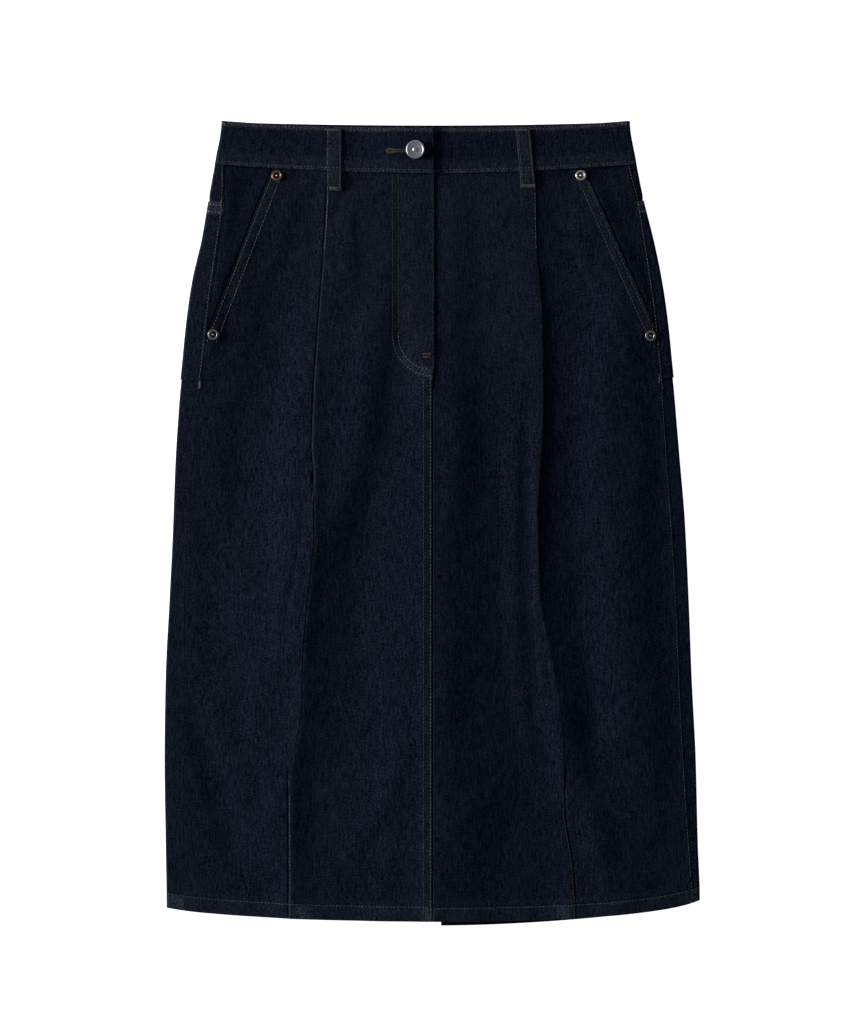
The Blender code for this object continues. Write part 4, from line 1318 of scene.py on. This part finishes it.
def make_twist():
    """The turns of a twisted thread, as a tone and a height."""
    group, given = new_group(
        "thread twist", {"Vector": "Vector", "Color": "Color"}, {"Color": "Color", "Height": "Float"},
    )
    turns = node(
        group, "TexWave", {"Vector": given["Vector"], "Scale": 1300.0, "Distortion": 0.6},
        wave_type="BANDS", bands_direction="DIAGONAL",
    )
    fade = node(group, "TexNoise", {"Vector": given["Vector"], "Scale": 160.0, "Detail": 2.0})
    tone = node(group, "MapRange", {"Value": fade.outputs["Fac"], 1: 0.3, 2: 0.7, 3: 0.45, 4: 1.45})
    dark = node(group, "MapRange", {"Value": turns.outputs["Fac"], 3: 0.6, 4: 1.15})
    both = node(group, "Math", {0: tone.outputs[0], 1: dark.outputs[0]}, operation="MULTIPLY")
    colour = node(group, "VectorMath", {0: given["Color"], "Scale": both.outputs[0]}, operation="SCALE")
    node(group, "NodeGroupOutput", {"Color": colour.outputs[0], "Height": turns.outputs["Fac"]})
    return group


twist = make_twist()
THREADS = {
    name: new_material(
        name + "_thread", twist, {"Color": (*colour, 1)}, (0.00005, 0.5),
        {"Roughness": 0.7, "Specular IOR Level": 0.08},
    )
    for name, colour in {
        "tan": (0.095, 0.060, 0.034), "brown": (0.044, 0.035, 0.028), "grey": (0.047, 0.050, 0.054),
        "pale": (0.074, 0.066, 0.061), "white": (0.125, 0.118, 0.112), "side": (0.076, 0.078, 0.082),
        "dull": (0.095, 0.078, 0.062), "slant": (0.098, 0.094, 0.090),
    }.items()
}
BODY_TOP, BODY_LOW = 0.003, 0.995
BOTH = (RIGHT, LEFT)


def across_line(side, share, hem, start, end, count=60):
    """A line across a half of the body in this row, from a distance to so much short of the fold."""
    row = Row(side, share, hem)
    return row.line(np.linspace(start, row.fold - end, count))


def down_line(side, hem, start_share, end_share, distance_of, count=60):
    """A line down a half of the body, at a distance worked out from each row."""
    rows = [Row(side, share, hem) for share in np.linspace(start_share, end_share, count)]
    return np.vstack([row.line(distance_of(row)) for row in rows])


def hem_line(side, hem, start, end):
    """The row that holds the hem."""
    share = 1 - HEM_ROWS[side] / (WAIST_SEAM.side - hem.side)
    return across_line(side, share, hem, start, end)


hem_lines = [hem_line(side, FRONT_HEMS[side], 0.6, 1.5) for side in BOTH]
sew("stitching_hem", hem_lines, THREADS["pale"], 2, length=3.0)
hem_lines = [hem_line(side, BACK_HEMS[side], 14 if side == RIGHT else 9, 3) for side in BOTH]
sew("stitching_back_hem", hem_lines, THREADS["brown"], 3, above=False)

fly_share = (waist_middle - FLY_END) / centre_length
centre_lines = [
    down_line(
        RIGHT, FRONT_HEMS[RIGHT], fly_share + 0.005, 1 - 0.6 / NOMINAL_LENGTH, lambda row, at=at: at, 90,
    )
    for at in CENTRE_ROWS
]
sew("stitching_centre", centre_lines[:1], THREADS["side"], 4, thread=0.8)
sew("stitching_centre_outer", centre_lines[1:], THREADS["grey"], 21, thread=0.5)

fly_lines, fly_bends = [], []
for at in FLY_ROWS:
    bend = [
        (FRONT_X - at * math.cos(t), FLY_END + FLY_WIDTH - at * math.sin(t))
        for t in np.linspace(0, math.pi / 2 - 0.03, 24)
    ]
    fly_lines.append([(FRONT_X - at, waist_middle - 1.5), bend[0]])
    fly_bends.append(bend)
sew("stitching_fly", fly_lines, THREADS["brown"], 5)
sew("stitching_fly_bend", fly_bends, THREADS["pale"], 19, thread=0.8)

slant_lines = {}
for side in BOTH:
    low = SLANTS[side].low_height + 4
    last = (WAIST_SEAM.side - low) / (WAIST_SEAM.side - FRONT_HEMS[side].side)
    slant_lines[side] = [
        down_line(
            side, FRONT_HEMS[side], BODY_TOP, last,
            lambda row, at=at: row.slant - at / math.cos(SLANT_LEAN),
        )
        for at in SLANT_ROWS[side]
    ]
sew("stitching_pocket_right", slant_lines[RIGHT], THREADS["slant"], 6)
sew("stitching_pocket_left", slant_lines[LEFT], THREADS["grey"], 17)

TUCK_TOP = {RIGHT: 0.835, LEFT: 0.842}
tuck_right, tuck_left = (
    down_line(
        side, FRONT_HEMS[side], TUCK_TOP[side], 1 - 1 / NOMINAL_LENGTH,
        lambda row: row.pleat.edge - TUCK_ROW,
    )
    for side in BOTH
)
sew("stitching_tuck_right", [tuck_right], THREADS["pale"], 7)
sew("stitching_tuck_left", [tuck_left], THREADS["brown"], 18)

SIDE_STITCHED = 206.0
side_lines = []
for side in BOTH:
    last = SIDE_STITCHED / (WAIST_SEAM.side - FRONT_HEMS[side].side)
    side_lines.append(down_line(side, FRONT_HEMS[side], BODY_TOP, last, lambda row: row.seam + 1.9))
sew("stitching_sides", side_lines, THREADS["side"], 8)
low_side = down_line(LEFT, FRONT_HEMS[LEFT], last + 0.004, BODY_LOW, lambda row: row.seam + 0.4, 90)
sew("stitching_low_side", [low_side], THREADS["grey"], 16)
pleat_right, pleat_left = (
    down_line(side, FRONT_HEMS[side], 0.030, 0.106, lambda row: row.pleat.edge - 0.8) for side in BOTH
)
sew("stitching_pleat_right", [pleat_right], THREADS["white"], 15)
sew("stitching_pleat_left", [pleat_left], THREADS["pale"], 20)

pocket_hem_lines = []
for side in BOTH:
    for down in POCKET_ROWS:
        row = Row(side, POCKET_TOP + down / NOMINAL_LENGTH, BACK_HEMS[side])
        pocket_hem_lines.append(row.line(np.linspace(row.seam + 1.5, row.fold - 1.5, 12)))
sew("stitching_pocket_hems", pocket_hem_lines, THREADS["white"], 9, thread=1.1)

back_pocket_lines = []
for side in BOTH:
    hem = BACK_HEMS[side]
    for inset in (2.0, 8.0):
        back_pocket_lines.append(down_line(
            side, hem, POCKET_TOP + 0.004, POCKET_BOTTOM - inset / NOMINAL_LENGTH,
            lambda row, inset=inset: POCKET_INNER + inset + pocket_point(row),
        ))
        share = POCKET_BOTTOM - (inset + 1) / NOMINAL_LENGTH
        back_pocket_lines.append(across_line(side, share, hem, POCKET_INNER + inset + POCKET_POINT, 3, 40))
    for down in POCKET_ROWS:
        share = POCKET_TOP + down / NOMINAL_LENGTH
        back_pocket_lines.append(across_line(side, share, hem, POCKET_INNER + 1, 3, 40))
sew("stitching_back_pockets", back_pocket_lines, THREADS["tan"], 10, above=False)

back_seam_lines = [
    down_line(LEFT, BACK_HEMS[LEFT], BODY_TOP, BODY_LOW, lambda row, at=at: centre_back(row) + at, 90)
    for at in (1.6, 7.0)
]
sew("stitching_back_seam", back_seam_lines, THREADS["brown"], 11, above=False)


def band_rows(top_edge):
    """Lines along the waistband just above its seam and just below its top edge."""
    lines = []
    for side in BOTH:
        for edge, away in ((WAIST_SEAM, BAND_STITCH_LOW), (top_edge, -BAND_STITCH_TOP)):
            fold = read(SIDES[side], "fold", edge.side)
            distance = np.linspace(0.8, fold - 2, 70)
            lines.append(np.c_[FRONT_X + side * distance, edge_height(edge, distance / fold) + away])
    return lines


sew("stitching_waistband", band_rows(FRONT_TOP), THREADS["pale"], 12)
sew("stitching_waistband_back", band_rows(BACK_TOP), THREADS["brown"], 13, above=False)

loop_lines = []
for loop in LOOPS:
    for inset in (-4.9, 4.9):
        (xa, ya), (xb, yb) = loop.top, loop.low
        loop_lines.append([
            (FRONT_X + loop.side * xa + inset, ya - 1), (FRONT_X + loop.side * xb + inset, yb + 1),
        ])
sew("stitching_loops", loop_lines, THREADS["pale"], 14)

# Short dense bars of thread that lock the ends of a seam
Tack = namedtuple("Tack", "ends width")
TACKS = {
    "bartacks": ("tan", [
        Tack([(-8.6, 155.0), (-0.6, 155.0)], 1.6),
        Tack([(-8.6, 152.2), (-0.8, 152.2)], 1.0),
        Tack([(-193.8, 296.4), (-193.8, 293.2)], 1.8),
    ]),
    "bartack_right": ("dull", [Tack([(-213.4, 130.5), (-213.4, 123.5)], 2.4)]),
    "bartack_left": ("brown", [Tack([(209.6, 140.6), (209.6, 128.6)], 2.2)]),
    "loop_bartacks": ("dull", [
        Tack([(-96.2, 307.6), (-83.8, 307.6)], 2.4),
        Tack([(-96.2, 361.3), (-83.8, 361.3)], 1.6),
        Tack([(82.3, 310.2), (94.8, 310.2)], 2.4),
        Tack([(77.6, 361.3), (90.0, 361.3)], 1.6),
    ]),
}


def bar_stitch(points, faces, near, far, thread=0.6, bow=0.45):
    """One stitch of a worked edge or bar, from one spot on the skirt's face to another."""
    (a, up), (b, _) = surface(*near, True), surface(*far, True)
    if a is not None and b is not None and abs(a[2] - b[2]) < STITCH_STEP:
        stitch(points, faces, a, b, up, thread, sink=0.1, bow=bow)


for name, (thread, tacks) in TACKS.items():
    points, faces = [], []
    for ends, width in tacks:
        start, end = np.array(ends)
        length = np.linalg.norm(end - start)
        way = (end - start) / length
        out = np.array([-way[1], way[0]]) * width / 2
        for k in range(int(length / BAR_PITCH)):
            spot = start + way * (k + 0.5) * BAR_PITCH
            bar_stitch(points, faces, spot - out, spot + out, 0.55, 0.5)
    stitches_piece(name, points, faces, THREADS[thread])


# ---- The buttonhole ----
# A keyhole buttonhole at the closing end of the band, worked over its edge in tan thread, with the
# dark slit between.

HOLE_Y = 342.2
HOLE_LEFT, HOLE_RIGHT = -40.5, -24.0
HOLE_WIDTHS = (6.0, 3.2)
HOLE_PITCH = 0.55
EYE_X = HOLE_RIGHT + 1.2
EYE_RADII = (1.0, 2.3)
points, faces = [], []
for x in np.arange(HOLE_LEFT, HOLE_RIGHT, HOLE_PITCH):
    width = mix(*HOLE_WIDTHS, ramp(x, HOLE_LEFT, HOLE_LEFT + 9))
    for way in (width, -width):
        bar_stitch(points, faces, (x, HOLE_Y + way * 0.03), (x + 0.15, HOLE_Y + way / 2))
for angle in np.linspace(-math.pi * 0.8, math.pi * 0.8, 15):
    near, far = ((EYE_X + math.cos(angle) * r, HOLE_Y + math.sin(angle) * r) for r in EYE_RADII)
    bar_stitch(points, faces, near, far)
for y in HOLE_Y - 1.4 + np.arange(6) * 0.56:
    bar_stitch(points, faces, (HOLE_LEFT - 1.4, y), (HOLE_LEFT + 0.4, y), bow=0.5)
stitches_piece("buttonhole", points, faces, THREADS["tan"])


# ---- The button ----
# A cast tack button of antique silver, with a raised rim, a sunk ring and a small boss, and old
# patina in patches.


def make_patina():
    """Tarnish that gathers in hollows and patches, as a colour, a roughness and a height."""
    group, given = new_group(
        "old metal",
        {"Vector": "Vector", "Metal": "Color", "Tarnish": "Color", "Amount": "Float", "Hollow": "Float"},
        {"Color": "Color", "Roughness": "Float", "Height": "Float"},
    )
    patches = node(group, "TexNoise", {"Vector": given["Vector"], "Scale": 900.0, "Detail": 4.0})
    fine = node(group, "TexNoise", {"Vector": given["Vector"], "Scale": 4200.0, "Detail": 2.0})
    spread = node(group, "MapRange", {"Value": patches.outputs["Fac"], 1: 0.38, 2: 0.68})
    some = node(
        group, "Math", {0: spread.outputs[0], 1: given["Amount"]}, operation="MULTIPLY", use_clamp=True,
    )
    rise = node(group, "SeparateXYZ", {0: given["Vector"]})
    under = node(group, "Math", {0: rise.outputs["Z"], 1: given["Hollow"]}, operation="LESS_THAN")
    share = node(group, "Math", {0: some.outputs[0], 1: under.outputs[0]}, operation="MAXIMUM")
    colour = node(
        group, "Mix", {0: share.outputs[0], 6: given["Metal"], 7: given["Tarnish"]}, data_type="RGBA",
    )
    rough = node(group, "MapRange", {"Value": share.outputs[0], 3: 0.30, 4: 0.62})
    node(group, "NodeGroupOutput", {
        "Color": colour.outputs[2], "Roughness": rough.outputs[0], "Height": fine.outputs["Fac"],
    })
    return group


patina = make_patina()


def metal(name, colour, tarnish, amount, hollow=0.0):
    """An old metal, tarnished in patches and everywhere below this height on the piece."""
    given = {"Metal": (*colour, 1), "Tarnish": (*tarnish, 1), "Amount": amount, "Hollow": hollow * MM}
    return new_material(name, patina, given, (0.00004, 0.4), {"Metallic": 1.0})


def turned_mesh(name, profile, steps):
    """A turned piece of metal: its profile, radius and height, spun about its own axis."""
    rings, k = profile[1:-1], np.arange(steps)
    after = (k + 1) % steps
    points = [
        (radius * math.cos(angle), radius * math.sin(angle), z)
        for radius, z in rings for angle in 2 * math.pi * k / steps
    ]
    low, top = len(points), len(points) + 1
    points += [(0, 0, profile[0][1]), (0, 0, profile[-1][1])]
    faces = [(two, one, low) for one, two in zip(k.tolist(), after.tolist())]
    for first in range(0, low - steps, steps):
        faces += (first + np.c_[k, after, after + steps, k + steps]).tolist()
    faces += [(one, two, top) for one, two in (low - steps + np.c_[k, after]).tolist()]
    mesh = bpy.data.meshes.new(name)
    mesh.from_pydata([Vector(point) * MM for point in points], [], faces)
    mesh.shade_smooth()
    mesh.set_sharp_from_angle(angle=math.radians(42))
    return mesh


BUTTON_PROFILE = [
    (0, 0), (3.2, 0), (3.2, 1.4), (6.4, 1.55), (7.6, 1.85), (8.3, 2.4), (8.5, 3.0), (8.4, 3.5),
    (8.05, 3.85), (7.55, 3.98), (7.05, 3.85), (6.75, 3.55), (6.45, 3.42), (5.6, 3.40), (5.35, 3.48),
    (5.1, 3.40), (4.2, 3.36), (3.9, 3.30), (3.5, 3.02), (2.9, 2.95), (2.5, 3.1), (2.25, 3.6),
    (1.9, 3.95), (1.2, 4.12), (0.5, 4.16), (0, 4.17),
]
BUTTON_PLACE = (FRONT_X - 16.7, 343.0, 3 * BAND + 2 * AIR - 0.6)
button = new_piece(
    "button_metal", turned_mesh("button_metal", BUTTON_PROFILE, 72),
    metal("antique_silver_metal", (0.66, 0.63, 0.59), (0.30, 0.28, 0.25), 0.6),
)
button.location = Vector(BUTTON_PLACE) * MM
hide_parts("button")


# ---- The rivets ----
# A ring-shaped cap with the burr of its shank in the middle, at both ends of each slanted pocket.
# The top ones are silver and copper and the lower ones brass, all of them dark in the hollows.

Rivet = namedtuple("Rivet", "node side distance height metal slot")
silver = metal("rivet_silver", (0.86, 0.75, 0.60), (0.16, 0.14, 0.11), 0.6, 0.8)
copper = metal("rivet_copper", (0.36, 0.20, 0.13), (0.07, 0.045, 0.035), 0.6, 0.8)
brass = metal("rivet_brass", (0.40, 0.37, 0.27), (0.06, 0.055, 0.045), 0.45, 0.8)
RIVETS = [
    Rivet("rivet_right_top", RIGHT, 144.0, 319.6, copper, "antique_copper"),
    Rivet("rivet_right_low", RIGHT, 202.5, 173.0, brass, "antique_brass"),
    Rivet("rivet_left_top", LEFT, 135.8, 319.8, silver, "antique_silver"),
    Rivet("rivet_left_low", LEFT, 199.4, 172.0, brass, "antique_brass"),
]
RIVET_PROFILE = [
    (0, 0), (4.6, 0), (4.85, 0.3), (4.9, 0.8), (4.86, 1.15), (4.7, 1.34), (4.2, 1.44), (3.7, 1.47),
    (3.2, 1.42), (2.95, 1.25), (2.8, 0.75), (2.65, 0.3), (2.4, 0.15), (1.5, 0.15), (1.4, 0.45),
    (1.25, 0.78), (0.95, 1.10), (0.5, 1.32), (0, 1.40),
]
RIVET_FEET = ((-3, -3), (3, -3), (3, 3), (-3, 3))
for rivet in RIVETS:
    x, y = FRONT_X + rivet.side * rivet.distance, rivet.height
    spots, ways = zip(*(surface(x + dx, y + dy, True) for dx, dy in RIVET_FEET))
    name = rivet.node + "_metal"
    cap = new_piece(name, turned_mesh(name, RIVET_PROFILE, 48), rivet.metal)
    cap.location = Vector((x, y, np.mean(spots, axis=0)[2])) * MM
    cap.rotation_mode = "QUATERNION"
    cap.rotation_quaternion = Vector(np.mean(ways, axis=0)).normalized().to_track_quat("Z", "Y")
    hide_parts(rivet.node)
